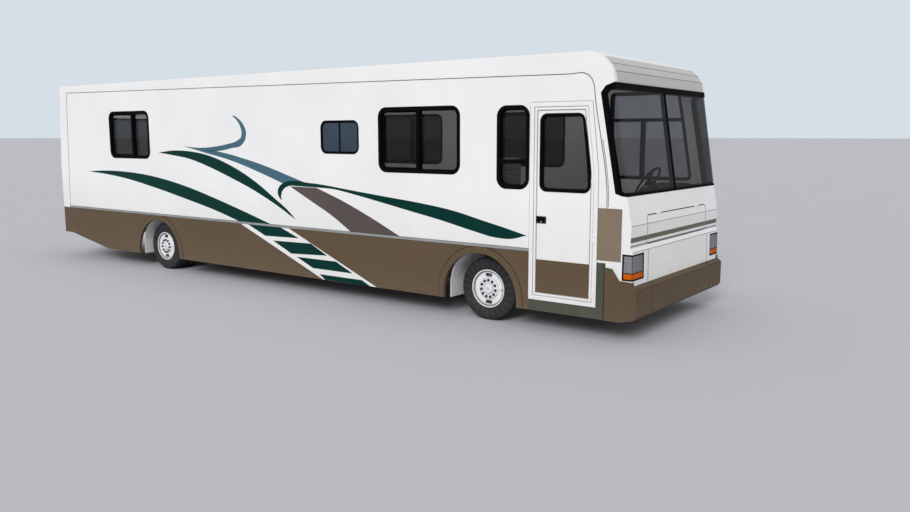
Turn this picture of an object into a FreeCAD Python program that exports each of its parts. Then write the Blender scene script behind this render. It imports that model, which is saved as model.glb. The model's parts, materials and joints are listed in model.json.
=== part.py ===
import FreeCAD, Part
import math
import os
from FreeCAD import Vector

# A 36 foot coach-built motorhome at real size, in millimetres.
# +X points forward, +Z up, the entry door is on the -Y side.
# The origin is on the ground, in the middle of the outer box.

# Driving sizes of the whole coach
length = 11000.0
width = 2540.0
height = 2978.0
door_to_axle = 611.0
rear_overhang = 2855.0
wall = 60.0
skirt_wall = 40.0
tyre_radius = 372.0
tyre_width = 223.0
overrun = 200.0

# Heights of the body lines above the ground
skirt_low = 222.0
belt_rise = 68.0
belt_depth = 30.0
belt_proud = 8.0
floor_thick = 50.0

# Rear end: the wall leans forward above its knee
rear_knee_z = 1599.0
rear_lean = 107.0
rear_skirt_low = 425.0
rear_ramp_start = 235.0
rear_ramp_end = 1360.0

# Front end: brow, windscreen, nose and bumper, as distances back from the bumper's face
brow_start_back = 580.0
brow_end_back = 303.0
brow_drop = 310.0
brow_shares = ((0.0, 0.0), (0.45, 0.17), (0.54, 0.24), (0.755, 0.41), (0.935, 0.67), (1.0, 1.0))
screen_head_set = 2.0
screen_head_step = 10.0
screen_foot_back = 130.0
screen_foot_z = 1563.0
screen_ledge_back = 131.0
screen_ledge_z = 1514.0
crease_back = 77.0
crease_z = 1219.0
chin_back = 85.0
chin_z = 1000.0
step_back = 57.0
step_z = 954.0
lip_back = 51.0
bumper_top_z = 608.0
fascia_lip = 41.0
apron_depth = 30.0
apron_lap = 5.0

# The seam that runs round each side panel
trim_rear_foot_gap = 215.0
trim_rear_top_gap = 327.0
trim_rear_drop = 119.0
trim_front_drop = 223.0
trim_front_start_back = 810.0
trim_front_foot_back = 353.0
trim_front_foot_z = 1404.0
trim_shares = (
    (0.0, 0.0), (0.405, 0.003), (0.495, 0.021), (0.562, 0.049), (0.617, 0.095), (0.635, 0.148),
    (0.689, 0.267), (0.816, 0.492), (0.947, 0.745), (0.989, 0.879), (1.0, 1.0),
)

# Windscreen outline on the side walls
screen_wrap_top_back = 455.0
screen_wrap_top_fall = 100.0
screen_shoulder_back = 401.0
screen_shoulder_fall = 31.0
screen_wrap_foot_back = 266.0
screen_wrap_foot_z = 1543.0
screen_toe_back = 198.0
screen_toe_z = 1520.0
screen_band_side = 50.0
screen_band_top = 60.0
screen_band_foot = 27.0
screen_bar = 20.0
screen_slant_share = 0.25
screen_shoulder_share = 0.5
glass_thick = 6.0
screen_glass_set = 8.0

# Side windows: gaps are from the coach's front face, or from its rear face for the bedroom
frame_proud = 6.0
glass_set = 54.0
window_band = 38.0
window_bar = 45.0
window_corner = 115.0
corner_room_share = 0.49
lounge_tall_gap = 515.0
lounge_width = 1236.0
lounge_height = 775.0
lounge_head_drop = 516.0
lounge_bar_share = 0.5
tall_door_gap = 16.0
tall_width = 411.0
tall_height = 897.0
tall_head_drop = 531.0
tall_bar_share = 0.33
bedroom_gap = 1609.0
bedroom_width = 1110.0
bedroom_height = 744.0
bedroom_head_drop = 465.0
bedroom_bar_share = 0.59
vent_lounge_gap = 338.0
vent_width = 662.0
vent_head_drop = 664.0
vent_height = 413.0
vent_band = 16.0
vent_proud = 3.0
vent_bar = 12.0
vent_bar_share = 0.5
vent_corner = 90.0
vent_glass_set = 14.0
dinette_gap = 4350.0
driver_gap = 388.0
driver_width = 1161.0
driver_height = 1133.0
driver_head_drop = 288.0
driver_kink_share = 0.68
driver_kink_back = 135.0
driver_top_back = 207.0
driver_corner = 70.0
driver_bar_share = 0.68
driver_post_share = 0.40
rear_window_width = 1300.0
rear_window_rise = 345.0
rear_window_head_drop = 528.0
rear_glass_set = 30.0

# Entry door
door_front_back = 455.0
door_width = 819.0
door_low = 345.0
door_head_drop = 501.0
door_kink_share = 0.6585
door_lean = 86.0
door_frame_band = 47.0
door_frame_proud = 4.0
door_proud = 2.0
door_thick = 40.0
door_gap = 6.0
door_latch_gap = 10.0
door_border = 37.0
door_recess = 5.0
door_paint_z = 793.0
kick_skin = 3.0
door_sill_drop = 216.0
door_window_head = 117.0
door_window_inset = 35.0
door_window_front_inset = 40.0
door_window_kink_rise = 61.0
door_window_corner = 85.0
door_window_lean_share = 1.35
door_window_band = 30.0
door_glass_set = 34.0
handle_width = 120.0
handle_height = 76.0
handle_proud = 8.0
handle_drop = 343.0

# Hinges on the door and the lids
hinge_radius = 6.0
hinge_pin = 3.5
hinge_bore_gap = 0.06
hinge_offset = 7.0
hinge_length = 90.0
hinge_split = 1.0
hinge_leaf = 28.0
hinge_leaf_thick = 6.0
hinge_knuckles = 3

# Nose lid
lid_inset = 408.0
lid_rise = 86.0
lid_thick = 30.0
lid_gap = 6.0
lid_foot_gap = 8.0
lid_corner = 50.0
lid_hinge_inset = 302.0

# Engine lid at the rear
engine_lid_inset = 630.0
engine_lid_rise = 43.0
engine_lid_tall = 430.0
louvre_count = 6
louvre_pitch = 52.0
louvre_slot = 20.0
louvre_inset = 160.0
louvre_first = 75.0

# Lamps
lamp_side_back = 168.0
lamp_width = 284.0
lamp_rise = 11.0
lamp_height = 272.0
lamp_split_share = 0.287
lamp_band = 16.0
lamp_set = 5.0
lamp_lens_thick = 14.0
tail_lamp_inset = 135.0
tail_lamp_width = 150.0
tail_lamp_rise = 88.0
tail_lamp_height = 400.0
tail_turn_share = 0.3

# Tan plate, brown and olive panels
plate_front_back = 183.0
plate_rear_back = 450.0
plate_low = 850.0
plate_sill_gap = 167.0
plate_thick = 6.0
olive_drop = 48.0
fascia_seam_drop = 92.0
fascia_bend_back = 274.0
fascia_bend_drop = 8.0
fascia_drop_back = 192.0
fascia_drop_rise = 6.0

# Bumper
bumper_proud = 14.0
bumper_wall = 40.0
bumper_face_rise = 68.0
bumper_face_drop = 44.0
bumper_toe_back = 25.0
bumper_toe_rise = 35.0
bumper_heel_back = 179.0
seam_width = 5.0
seam_depth = 4.0
bumper_seam_inset = 402.0
plate_recess_half = 180.0
plate_recess_rise = 10.0
plate_recess_tall = 186.0

# Wheel arches and liners
front_arch_room = 138.0
rear_arch_room = 168.0
front_arch_shift = 55.0
rear_arch_shift = 23.0
front_arch_rise = 423.0
rear_arch_rise = 432.0
arch_lip = 75.0
arch_lip_proud = 6.0
tyre_room = 128.0
liner_thick = 8.0
liner_rail_gap = 170.0

# Wheels
tyre_inset = 100.0
rim_seat = 205.0
flange_rise = 17.0
flange_inset = 7.5
flange_lip = 6.0
bead_gap = 2.5
barrel_drop = 15.0
disc_inset = 20.0
disc_thick = 10.0
hub_face_radius = 128.0
hub_rise = 10.0
cap_radius = 60.0
cap_rise = 22.0
hand_hole_radius = 17.0
hand_hole_stretch = 26.0
drum_gap = 25.0
drum_length = 80.0
dual_gap = 32.0
tyre_facets = 40
tyre_shares = (
    (-0.80, 0.0), (-0.93, 0.2), (-1.0, 0.52), (-0.95, 0.82), (-0.78, 0.975), (-0.4, 1.0),
    (0.4, 1.0), (0.78, 0.975), (0.95, 0.82), (1.0, 0.52), (0.93, 0.2), (0.80, 0.0),
)

# Steering and axles
kingpin_inset = 158.5
kingpin_radius = 18.0
boss_radius = 38.0
boss_height = 84.0
knuckle_gap = 5.0
knuckle_arm = 30.0
knuckle_web_gap = 8.0
knuckle_drum_gap = 8.5
knuckle_half = 42.0
spindle_radius = 25.0
spindle_stop = 10.0
bore_stop = 5.0
bearing_gap = 0.05
axle_beam_height = 70.0
axle_beam_half = 45.0
beam_lap = 5.0
axle_tube_radius = 58.0
stub_radius = 35.0
diff_radius = 170.0
diff_half = 150.0
diff_nose = 272.0

# Chassis
rail_outer_y = 440.0
rail_wide = 60.0
rail_rise = 188.0
rail_tall = 200.0
rail_front_back = 260.0
rail_rear_gap = 160.0
cross_wide = 80.0
cross_inset = 40.0
cross_top_inset = 20.0
cross_shares = (0.0, 0.19, 0.33, 0.47, 0.61, 0.75, 1.0)
spring_half_length = 620.0
spring_width = 60.0
spring_thick = 40.0
spring_bow = 90.0
spring_hanger = 40.0

# Engine, tanks and bays
engine_front_gap = 1350.0
engine_rear_gap = 300.0
engine_low = 400.0
engine_high = 1130.0
deck_engine_gap = 150.0
deck_rise = 250.0
bay_low = 345.0
bay_skirt_gap = 40.0
bay_front_gap = 900.0
bay_rear_gap = 700.0
bay_count = 3
bay_space = 24.0

# Gearbox, driveshaft, exhaust and tanks
gearbox_rise = 75.0
bell_radius = 175.0
bell_length = 120.0
gearbox_radius = 113.0
gearbox_length = 600.0
shaft_radius = 45.0
shaft_stub_radius = 55.0
shaft_stub = 70.0
shaft_lap = 20.0
muffler_radius = 110.0
muffler_length = 700.0
muffler_rear_gap = 450.0
muffler_rail_gap = 200.0
muffler_rise = 128.0
muffler_inlet_gap = 150.0
muffler_hanger = 40.0
muffler_hanger_thick = 30.0
muffler_hanger_inset = 80.0
muffler_hanger_drop = 12.0
pipe_radius = 40.0
pipe_wall = 4.0
pipe_straight = 70.0
pipe_fall_gap = 170.0
pipe_end_gap = 40.0
pipe_clearance = 40.0
pipe_bore = 120.0
fuel_tank_half = 350.0
fuel_tank_tall = 300.0
fuel_tank_lap = 60.0
fuel_tank_round = 60.0
air_tank_radius = 105.0
air_tank_length = 560.0
air_tank_y = 200.0
air_tank_round = 40.0
air_tank_saddle = 60.0
air_tank_drop = 15.0

# Cab
step_well_depth = 560.0
step_tread_z = 430.0
step_mid_z = 680.0
step_run = 280.0
step_skin = 12.0
step_side = 12.0
dash_back = 610.0
dash_front_back = 200.0
dash_rise = 145.0
dash_knee_drop = 295.0
dash_knee_depth = 115.0
dash_side_gap = 40.0
dash_well_gap = 28.0
dash_door_gap = 35.0
hood_rise = 105.0
hood_side_rise = 35.0
dash_fall = 52.5
hood_inset = 790.0
hood_half = 900.0
hood_back = 470.0
hood_depth = 230.0
wheel_rim_radius = 215.0
wheel_rim_tube = 14.0
wheel_hub_radius = 45.0
column_radius = 30.0
column_length = 600.0
spoke_share = 0.5
spoke_turns = (90, 210, 330)
driver_inset = 610.0
column_back = 720.0
column_rise = 230.0
column_tilt = 55.0
driver_seat_back = 1290.0
passenger_seat_back = 1930.0
seat_wide = 540.0
seat_deep = 500.0
seat_cushion = 130.0
seat_height = 1330.0
seat_back_height = 560.0
seat_back_thick = 120.0
seat_round = 43.0
seat_back_round = 40.0
seat_gap = 0.3
seat_pedestal = 300.0

# Roof and tow gear
roof_vent_half = 250.0
roof_vent_high = 80.0
roof_vent_round = 40.0
upright_share = 0.9
roof_vent_shares = (0.22, 0.52, 0.74)
tow_eye_hole = 16.0
tow_eye_thick = 20.0
tow_eye_drop = 90.0
tow_eye_round = 34.0
tow_eye_reach = 70.0
tow_eye_inset = 4.0
receiver_half = 38.0
receiver_bore_half = 26.0
receiver_length = 260.0
receiver_set = 5.0
receiver_gap = 12.0
receiver_pin = 8.0
receiver_pin_gap = 60.0

# Places that follow from the driving sizes
front_x = length / 2
rear_x = -length / 2
half_width = width / 2
inner_half = half_width - wall
skirt_inner = half_width - skirt_wall
door_rear_back = door_front_back + door_width
front_axle_x = front_x - door_rear_back - door_to_axle
rear_axle_x = rear_x + rear_overhang
axle_z = tyre_radius
lip_x = front_x - lip_back
bumper_half = half_width + bumper_proud

# Heights that follow from the wheels
liner_radius = tyre_radius + tyre_room
floor_low = axle_z + liner_radius + liner_thick
floor_high = floor_low + floor_thick
front_arch_radius = tyre_radius + front_arch_room
rear_arch_radius = tyre_radius + rear_arch_room
front_arch_top = axle_z + front_arch_rise
rear_arch_top = axle_z + rear_arch_rise
belt_low = rear_arch_top + belt_rise
belt_high = belt_low + belt_depth
olive_high = belt_low - olive_drop

# Nose, lamps and bumper
screen_head_back = brow_end_back + screen_head_set
screen_head_drop = brow_drop + screen_head_step
screen_wrap_top_drop = screen_head_drop + screen_wrap_top_fall
screen_shoulder_drop = screen_head_drop + screen_shoulder_fall
trim_seam_x = front_x - trim_front_foot_back
fascia_top_z = bumper_top_z + fascia_lip
fascia_drop_z = fascia_top_z + fascia_drop_rise
fascia_seam_z = belt_low - fascia_seam_drop
fascia_bend_z = fascia_seam_z - fascia_bend_drop
bumper_face_low = skirt_low + bumper_face_rise
bumper_face_high = bumper_top_z - bumper_face_drop
bumper_toe_z = skirt_low + bumper_toe_rise
bumper_seam_y = half_width - bumper_seam_inset
plate_recess_low = bumper_face_low + plate_recess_rise
plate_recess_high = plate_recess_low + plate_recess_tall
lid_half = half_width - lid_inset
lid_low = chin_z
lid_high = crease_z + lid_rise
lid_hinge_y = lid_half - lid_hinge_inset
lamp_inner_y = half_width - lamp_width
lamp_low = fascia_top_z + lamp_rise
lamp_high = lamp_low + lamp_height
lamp_split_z = lamp_low + lamp_height * lamp_split_share

# Rear end
engine_lid_half = half_width - engine_lid_inset
engine_lid_low = belt_low + engine_lid_rise
engine_lid_high = engine_lid_low + engine_lid_tall
louvre_half = engine_lid_half - louvre_inset
tail_lamp_inner_y = half_width - tail_lamp_inset - tail_lamp_width
tail_lamp_low = belt_low + tail_lamp_rise
rear_window_sill = engine_lid_high + rear_window_rise
rear_window_height = height - rear_window_head_drop - rear_window_sill

# Side windows and the entry door
tall_gap = door_rear_back + tall_door_gap
lounge_gap = tall_gap + tall_width + lounge_tall_gap
vent_gap = lounge_gap + lounge_width + vent_lounge_gap
lounge_sill = height - lounge_head_drop - lounge_height
tall_sill = height - tall_head_drop - tall_height
bedroom_sill = height - bedroom_head_drop - bedroom_height
driver_sill = height - driver_head_drop - driver_height
vent_sill = height - vent_head_drop - vent_height
plate_high = driver_sill - plate_sill_gap
door_high = height - door_head_drop
door_kink_z = door_low + (door_high - door_low) * door_kink_share
door_window_sill = door_kink_z - door_sill_drop
door_window_top = door_high - door_window_head
door_window_kink_z = door_kink_z + door_window_kink_rise
handle_z = door_window_sill - handle_drop

# Wheels and steering
wheel_y = half_width - tyre_inset - tyre_width / 2
rim_flange = rim_seat + flange_rise
rim_barrel = rim_seat - barrel_drop
rim_half = tyre_width / 2 - flange_inset
disc_face = rim_half - disc_inset
drum_radius = rim_barrel - drum_gap
hand_hole_reach = (hub_face_radius + rim_barrel) / 2
dual_spacing = tyre_width + dual_gap
kingpin_y = wheel_y - kingpin_inset
knuckle_web_in = boss_radius + knuckle_web_gap
knuckle_web_out = kingpin_inset - drum_length - knuckle_drum_gap

# Chassis, engine deck, cab and tow gear
rail_low = axle_z + rail_rise
rail_high = rail_low + rail_tall
cross_low = rail_low + cross_inset
cross_high = rail_high - cross_top_inset
deck_gap = engine_front_gap + deck_engine_gap
deck_z = engine_high + deck_rise
bay_inner_y = rail_outer_y
bay_outer_y = skirt_inner - bay_skirt_gap
liner_depth = inner_half - rail_outer_y - liner_rail_gap
muffler_y = rail_outer_y + muffler_rail_gap + muffler_radius
dash_top_z = seat_height + dash_rise
dash_knee_z = dash_top_z - dash_knee_drop
dash_half = inner_half - dash_side_gap
dash_door_y = inner_half - step_well_depth - step_skin - dash_well_gap
dash_door_back = door_front_back - dash_door_gap
column_z = seat_height + column_rise
driver_y = inner_half - driver_inset
hood_y = inner_half - hood_inset
tow_eye_y = rail_outer_y - rail_wide / 2
tow_eye_z = rail_low - tow_eye_drop
receiver_z = rear_skirt_low - receiver_gap - receiver_half


def ahead(back):
    return front_x - back


def block(x0, x1, y0, y1, z0, z1):
    return Part.makeBox(x1 - x0, y1 - y0, z1 - z0, Vector(x0, y0, z0))


def face_of(points):
    return Part.Face(Part.makePolygon(points + points[:1]))


def prism_y(outline, y0, y1):
    """A straight outline in X and Z, swept across the coach."""
    return face_of([Vector(x, y0, z) for x, z in outline]).extrude(Vector(0, y1 - y0, 0))


def soft_wire(points, radius):
    """A closed outline with every corner rounded, as far as its sides allow."""
    count = len(points)
    cuts = []
    for i in range(count):
        corner = points[i]
        to_last = points[i - 1] - corner
        to_next = points[(i + 1) % count] - corner
        turn = to_last.getAngle(to_next) / 2
        room = min(to_last.Length, to_next.Length) * corner_room_share
        reach = min(radius / math.tan(turn), room)
        middle = (to_last.normalize() + to_next.normalize()).normalize()
        size = reach * math.tan(turn)
        centre = corner + middle * (size / math.sin(turn))
        cuts.append((corner + to_last * reach, centre - middle * size, corner + to_next * reach))
    edges = []
    for i in range(count):
        start, mid, end = cuts[i]
        edges.append(Part.Arc(start, mid, end).toShape())
        following = cuts[(i + 1) % count][0]
        edges.append(Part.LineSegment(end, following).toShape())
    return Part.Wire(edges)


def soft_prism_y(outline, radius, y0, y1):
    wire = soft_wire([Vector(x, y0, z) for x, z in outline], radius)
    return Part.Face(wire).extrude(Vector(0, y1 - y0, 0))


def soft_prism_x(outline, radius, x0, x1):
    wire = soft_wire([Vector(x0, y, z) for y, z in outline], radius)
    return Part.Face(wire).extrude(Vector(x1 - x0, 0, 0))


def mirror_y(shape):
    return shape.mirror(Vector(0, 0, 0), Vector(0, 1, 0))


def both_sides(shape):
    return Part.makeCompound([shape, mirror_y(shape)])


def fuse(first, *others):
    return first.fuse(list(others)).removeSplitter()


def turned(profile, x, y, z, outward):
    """A solid of revolution about an axle along Y. The profile lists (outward, radius)."""
    points = [Vector(0, t * outward, r) for t, r in profile]
    solid = face_of(points).revolve(Vector(0, 0, 0), Vector(0, 1, 0), 360)
    solid.translate(Vector(x, y, z))
    return solid


def rod_y(x, z, radius, y0, y1):
    return Part.makeCylinder(radius, y1 - y0, Vector(x, y0, z), Vector(0, 1, 0))


def rod_z(x, y, radius, z0, z1):
    return Part.makeCylinder(radius, z1 - z0, Vector(x, y, z0), Vector(0, 0, 1))


# The coach's side outline, from which every shell panel is cut
def body_outline():
    brow_depth = brow_start_back - brow_end_back
    outline = [
        (rear_x, belt_low - overrun * 2),
        (rear_x, rear_knee_z),
        (rear_x + rear_lean, height),
    ]
    for along, down in brow_shares:
        outline.append((ahead(brow_start_back - brow_depth * along), height - brow_drop * down))
    outline += [
        (ahead(screen_head_back), height - screen_head_drop),
        (ahead(screen_foot_back), screen_foot_z),
        (ahead(screen_ledge_back), screen_ledge_z),
        (ahead(crease_back), crease_z),
        (ahead(chin_back), chin_z),
        (ahead(step_back), step_z),
        (lip_x, bumper_top_z),
        (lip_x, belt_low - overrun * 2),
    ]
    return outline


def body_core(inset):
    """The coach as a solid, with its faces moved inwards by the inset."""
    side = half_width - inset
    face = face_of([Vector(x, -side, z) for x, z in body_outline()])
    if inset > 0:
        face = face.makeOffset2D(-inset, 2)
    return face.extrude(Vector(0, 2 * side, 0))


def trim_curve():
    """The side panel's front seam, from its top corner down to its foot."""
    reach = trim_front_start_back - trim_front_foot_back
    top = height - trim_front_drop
    fall = top - trim_front_foot_z
    return [(ahead(trim_front_start_back - reach * a), top - fall * d) for a, d in trim_shares]


def screen_outline():
    out = front_x + overrun
    return [
        (ahead(screen_wrap_top_back), height - screen_wrap_top_drop),
        (ahead(screen_shoulder_back), height - screen_shoulder_drop),
        (ahead(screen_head_back), height - screen_head_drop),
        (out, height - screen_head_drop),
        (out, screen_ledge_z),
        (ahead(screen_ledge_back), screen_ledge_z),
        (ahead(screen_toe_back), screen_toe_z),
        (ahead(screen_wrap_foot_back), screen_wrap_foot_z),
    ]


def screen_glass_outline():
    out = front_x + overrun
    side = screen_band_side
    slant = side * screen_slant_share
    shoulder = side * screen_shoulder_share
    return [
        (ahead(screen_wrap_top_back) + side, height - screen_wrap_top_drop - slant),
        (ahead(screen_shoulder_back) + shoulder, height - screen_shoulder_drop - side),
        (ahead(screen_head_back), height - screen_head_drop - screen_band_top),
        (out, height - screen_head_drop - screen_band_top),
        (out, screen_ledge_z + screen_band_foot),
        (ahead(screen_ledge_back), screen_ledge_z + screen_band_foot),
        (ahead(screen_toe_back) + slant, screen_toe_z + screen_band_foot),
        (ahead(screen_wrap_foot_back) + side, screen_wrap_foot_z + screen_band_foot),
    ]


def rectangle(x0, x1, z0, z1):
    return [(x0, z0), (x1, z0), (x1, z1), (x0, z1)]


def shrink(outline, band):
    """The same outline drawn in by a band on every side."""
    face = face_of([Vector(x, 0, z) for x, z in outline]).makeOffset2D(-band, 2)
    ring = face.OuterWire.OrderedVertexes
    return [(v.Point.x, v.Point.z) for v in ring]


def window_set(outline, corner, band, side, bars, proud, set_in):
    """One side window: the hole for the wall, the black frame with its bars, and the glass."""
    inner = shrink(outline, band)
    face_y = (half_width + proud) * side
    back_y = inner_half * side
    low, high = min(face_y, back_y), max(face_y, back_y)
    hole = soft_prism_y(outline, corner, low, high)
    opening = soft_prism_y(inner, max(corner - band, 0), low, high)
    keep = [block(x0, x1, low, high, z0, z1).common(opening) for x0, x1, z0, z1 in bars]
    frame = hole.cut(opening)
    panes = opening
    for bar in keep:
        frame = frame.fuse(bar)
        panes = panes.cut(bar)
    near = face_y - set_in * side
    far = near - glass_thick * side
    x_list = [p[0] for p in outline]
    z_list = [p[1] for p in outline]
    layer = block(min(x_list), max(x_list), min(near, far), max(near, far), min(z_list), max(z_list))
    return hole, frame.removeSplitter(), panes.common(layer)


def upright_bar(outline, share, bar, low_share=0.0, high_share=1.0):
    x_list = [p[0] for p in outline]
    z_list = [p[1] for p in outline]
    tall = max(z_list) - min(z_list)
    x = min(x_list) + (max(x_list) - min(x_list)) * share
    return (x - bar / 2, x + bar / 2, min(z_list) + tall * low_share, min(z_list) + tall * high_share)


def level_bar(outline, share, bar):
    x_list = [p[0] for p in outline]
    z_list = [p[1] for p in outline]
    z = min(z_list) + (max(z_list) - min(z_list)) * share
    return (min(x_list), max(x_list), z - bar / 2, z + bar / 2)


def front_window(gap, wide, sill, tall):
    return rectangle(ahead(gap + wide), ahead(gap), sill, sill + tall)


def side_windows(side):
    """Every window of one side wall, as holes, frames and panes. The door side is -1."""
    sets = []
    lounge = front_window(lounge_gap, lounge_width, lounge_sill, lounge_height)
    bar = upright_bar(lounge, lounge_bar_share, window_bar)
    sets.append(window_set(lounge, window_corner, window_band, side, [bar], frame_proud, glass_set))
    bedroom = rectangle(rear_x + bedroom_gap, rear_x + bedroom_gap + bedroom_width, bedroom_sill,
                        bedroom_sill + bedroom_height)
    bar = upright_bar(bedroom, bedroom_bar_share, window_bar)
    sets.append(window_set(bedroom, window_corner, window_band, side, [bar], frame_proud, glass_set))
    if side < 0:
        tall = front_window(tall_gap, tall_width, tall_sill, tall_height)
        bar = level_bar(tall, tall_bar_share, window_bar)
        sets.append(window_set(tall, window_corner, window_band, side, [bar], frame_proud, glass_set))
    else:
        dinette = front_window(dinette_gap, lounge_width, lounge_sill, lounge_height)
        bar = upright_bar(dinette, lounge_bar_share, window_bar)
        sets.append(window_set(dinette, window_corner, window_band, side, [bar], frame_proud, glass_set))
        top = driver_sill + driver_height
        kink = driver_sill + driver_height * driver_kink_share
        driver = [
            (ahead(driver_gap + driver_width), driver_sill),
            (ahead(driver_gap), driver_sill),
            (ahead(driver_gap + driver_kink_back), kink),
            (ahead(driver_gap + driver_top_back), top),
            (ahead(driver_gap + driver_width), top),
        ]
        bars = [level_bar(driver, driver_bar_share, window_bar),
                upright_bar(driver, driver_post_share, window_bar, 0.0, driver_bar_share)]
        sets.append(window_set(driver, driver_corner, window_band, side, bars, frame_proud, glass_set))
    return sets


def vent_window():
    outline = front_window(vent_gap, vent_width, vent_sill, vent_height)
    bar = upright_bar(outline, vent_bar_share, vent_bar)
    return window_set(outline, vent_corner, vent_band, -1, [bar], vent_proud, vent_glass_set)


# Entry door
def door_outline(inset):
    """The door frame's outline drawn in by an inset. Its front edge leans back above the kink."""
    x0 = ahead(door_rear_back) + inset
    x1 = ahead(door_front_back) - inset
    return [
        (x0, door_low + inset),
        (x1, door_low + inset),
        (x1, door_kink_z),
        (x1 - door_lean, door_high - inset),
        (x0, door_high - inset),
    ]


def leaf_outline():
    x0 = ahead(door_rear_back) + door_frame_band + door_latch_gap
    x1 = ahead(door_front_back) - door_frame_band - door_gap
    low = door_low + door_frame_band + door_gap
    high = door_high - door_frame_band - door_gap
    return [(x0, low), (x1, low), (x1, door_kink_z), (x1 - door_lean, high), (x0, high)]


def door_window_outline():
    leaf = leaf_outline()
    x0 = leaf[0][0] + door_border + door_window_inset - door_latch_gap
    x1 = leaf[1][0] - door_window_front_inset + door_gap
    lean = door_lean * (door_window_top - door_window_kink_z) / (door_high - door_kink_z)
    return [
        (x0, door_window_sill),
        (x1, door_window_sill),
        (x1, door_window_kink_z),
        (x1 - lean * door_window_lean_share, door_window_top),
        (x0, door_window_top),
    ]


def hinge(length_along, leaf_reach):
    """A butt hinge along Z with its pin at the origin. The fixed leaf points to +X, the moving one
    to -X, and both lie on the +Y side of the barrel."""
    knuckle_length = length_along / hinge_knuckles
    low = -length_along / 2
    barrel = Part.makeCylinder(hinge_radius, length_along, Vector(0, 0, low))
    pin = Part.makeCylinder(hinge_pin, length_along, Vector(0, 0, low))
    bore = Part.makeCylinder(hinge_pin + hinge_bore_gap, length_along, Vector(0, 0, low))
    middle = block(-overrun, overrun, -overrun, overrun, low + knuckle_length, -low - knuckle_length)
    gap = block(-overrun, overrun, -overrun, overrun, low + knuckle_length + hinge_split,
                -low - knuckle_length - hinge_split)
    plate_low = hinge_radius - hinge_leaf_thick
    fixed_leaf = block(0, leaf_reach, plate_low, hinge_offset, low, -low)
    fixed = barrel.fuse(fixed_leaf).cut(middle).fuse(pin)
    moving_leaf = block(-leaf_reach, 0, plate_low, hinge_offset, low, -low)
    moving = barrel.fuse(moving_leaf).common(gap).cut(bore)
    return fixed.removeSplitter(), moving.removeSplitter()


def placed(shape, x, y, z):
    copy = shape.copy()
    copy.translate(Vector(x, y, z))
    return copy


def set_along(shape, x_to, y_to, origin):
    """Turns a shape so that its own X and Y point along two square directions, then moves it."""
    z_to = x_to.cross(y_to)
    turn = FreeCAD.Matrix(x_to.x, y_to.x, z_to.x, origin.x, x_to.y, y_to.y, z_to.y, origin.y,
                          x_to.z, y_to.z, z_to.z, origin.z, 0, 0, 0, 1)
    copy = shape.copy()
    copy.transformShape(turn, True)
    return copy


def door_hinges():
    """Three hinges on the upright part of the door's front edge, for the frame and for the leaf."""
    frame_face = half_width + door_frame_proud
    x = ahead(door_front_back) - door_frame_band - door_gap / 2
    y = -(frame_face + hinge_offset)
    low = door_low + door_frame_band + hinge_length
    high = door_kink_z - hinge_length
    fixed, moving = [], []
    middle_half = hinge_length / hinge_knuckles / 2 - hinge_split
    for z in (low, (low + high) / 2, high):
        a, b = hinge(hinge_length, hinge_leaf)
        reach = block(-hinge_leaf, -hinge_radius, 0, hinge_offset + door_frame_proud - door_proud,
                      -middle_half, middle_half)
        fixed.append(placed(a, x, y, z))
        moving.append(placed(b.fuse(reach), x, y, z))
    return fixed, moving


def entry_door():
    outer = prism_y(door_outline(0), -(half_width + door_frame_proud), -inner_half)
    hole = prism_y(door_outline(door_frame_band), -(half_width + overrun), -inner_half + overrun)
    fixed, moving = door_hinges()
    frame = fuse(outer.cut(hole), *fixed)
    face = half_width + door_proud
    leaf = prism_y(leaf_outline(), -face, -face + door_thick)
    inset_outline = shrink(leaf_outline(), door_border - door_gap)
    panel = prism_y(inset_outline, -face - overrun, -face + door_recess)
    leaf = leaf.cut(panel)
    window_hole = soft_prism_y(door_window_outline(), door_window_corner, -face - overrun, 0)
    leaf = fuse(leaf.cut(window_hole), *moving)
    handle_x = inset_outline[0][0]
    for x, z in inset_outline:
        handle_x = min(handle_x, x)
    handle = block(handle_x, handle_x + handle_width, -face - handle_proud + door_recess,
                   -face + door_recess, handle_z, handle_z + handle_height)
    kick_region = block(rear_x, front_x, -face, -face + door_recess, 0, door_paint_z)
    kick = prism_y(inset_outline, -face + door_recess - kick_skin, -face + door_recess).common(kick_region)
    return frame, leaf, kick, handle


def door_window():
    outline = door_window_outline()
    inner = shrink(outline, door_window_band)
    face = half_width + door_proud
    back = face - door_thick
    hole = soft_prism_y(outline, door_window_corner, -face, -back)
    opening = soft_prism_y(inner, door_window_corner - door_window_band, -face, -back)
    near = face - door_glass_set
    glass = opening.common(block(rear_x, front_x, -near, -near + glass_thick, 0, height))
    return hole.cut(opening), glass


# Body panels
def side_region():
    rear_foot = rear_x + trim_rear_foot_gap
    rear_top = rear_x + trim_rear_top_gap
    return ([(rear_foot, belt_low), (trim_seam_x, belt_low)] + trim_curve()[::-1]
            + [(rear_top, height - trim_rear_drop)])


def front_region():
    curve = trim_curve()
    out = front_x + overrun
    return curve + [
        (trim_seam_x, fascia_seam_z),
        (ahead(fascia_bend_back), fascia_bend_z),
        (ahead(fascia_drop_back), fascia_drop_z),
        (lip_x, fascia_top_z),
        (out, fascia_top_z),
        (out, height + overrun),
        (curve[0][0], height + overrun),
    ]


def rear_region():
    return [
        (rear_x - overrun, belt_low),
        (rear_x + trim_rear_foot_gap, belt_low),
        (rear_x + trim_rear_top_gap, height - trim_rear_drop),
        (rear_x + trim_rear_top_gap, height + overrun),
        (rear_x - overrun, height + overrun),
    ]


def roof_region():
    start = trim_curve()[0]
    return [
        (rear_x + trim_rear_top_gap, height - trim_rear_drop),
        start,
        (start[0], height + overrun),
        (rear_x + trim_rear_top_gap, height + overrun),
    ]


def across(outline):
    return prism_y(outline, -half_width - overrun, half_width + overrun)


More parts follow.
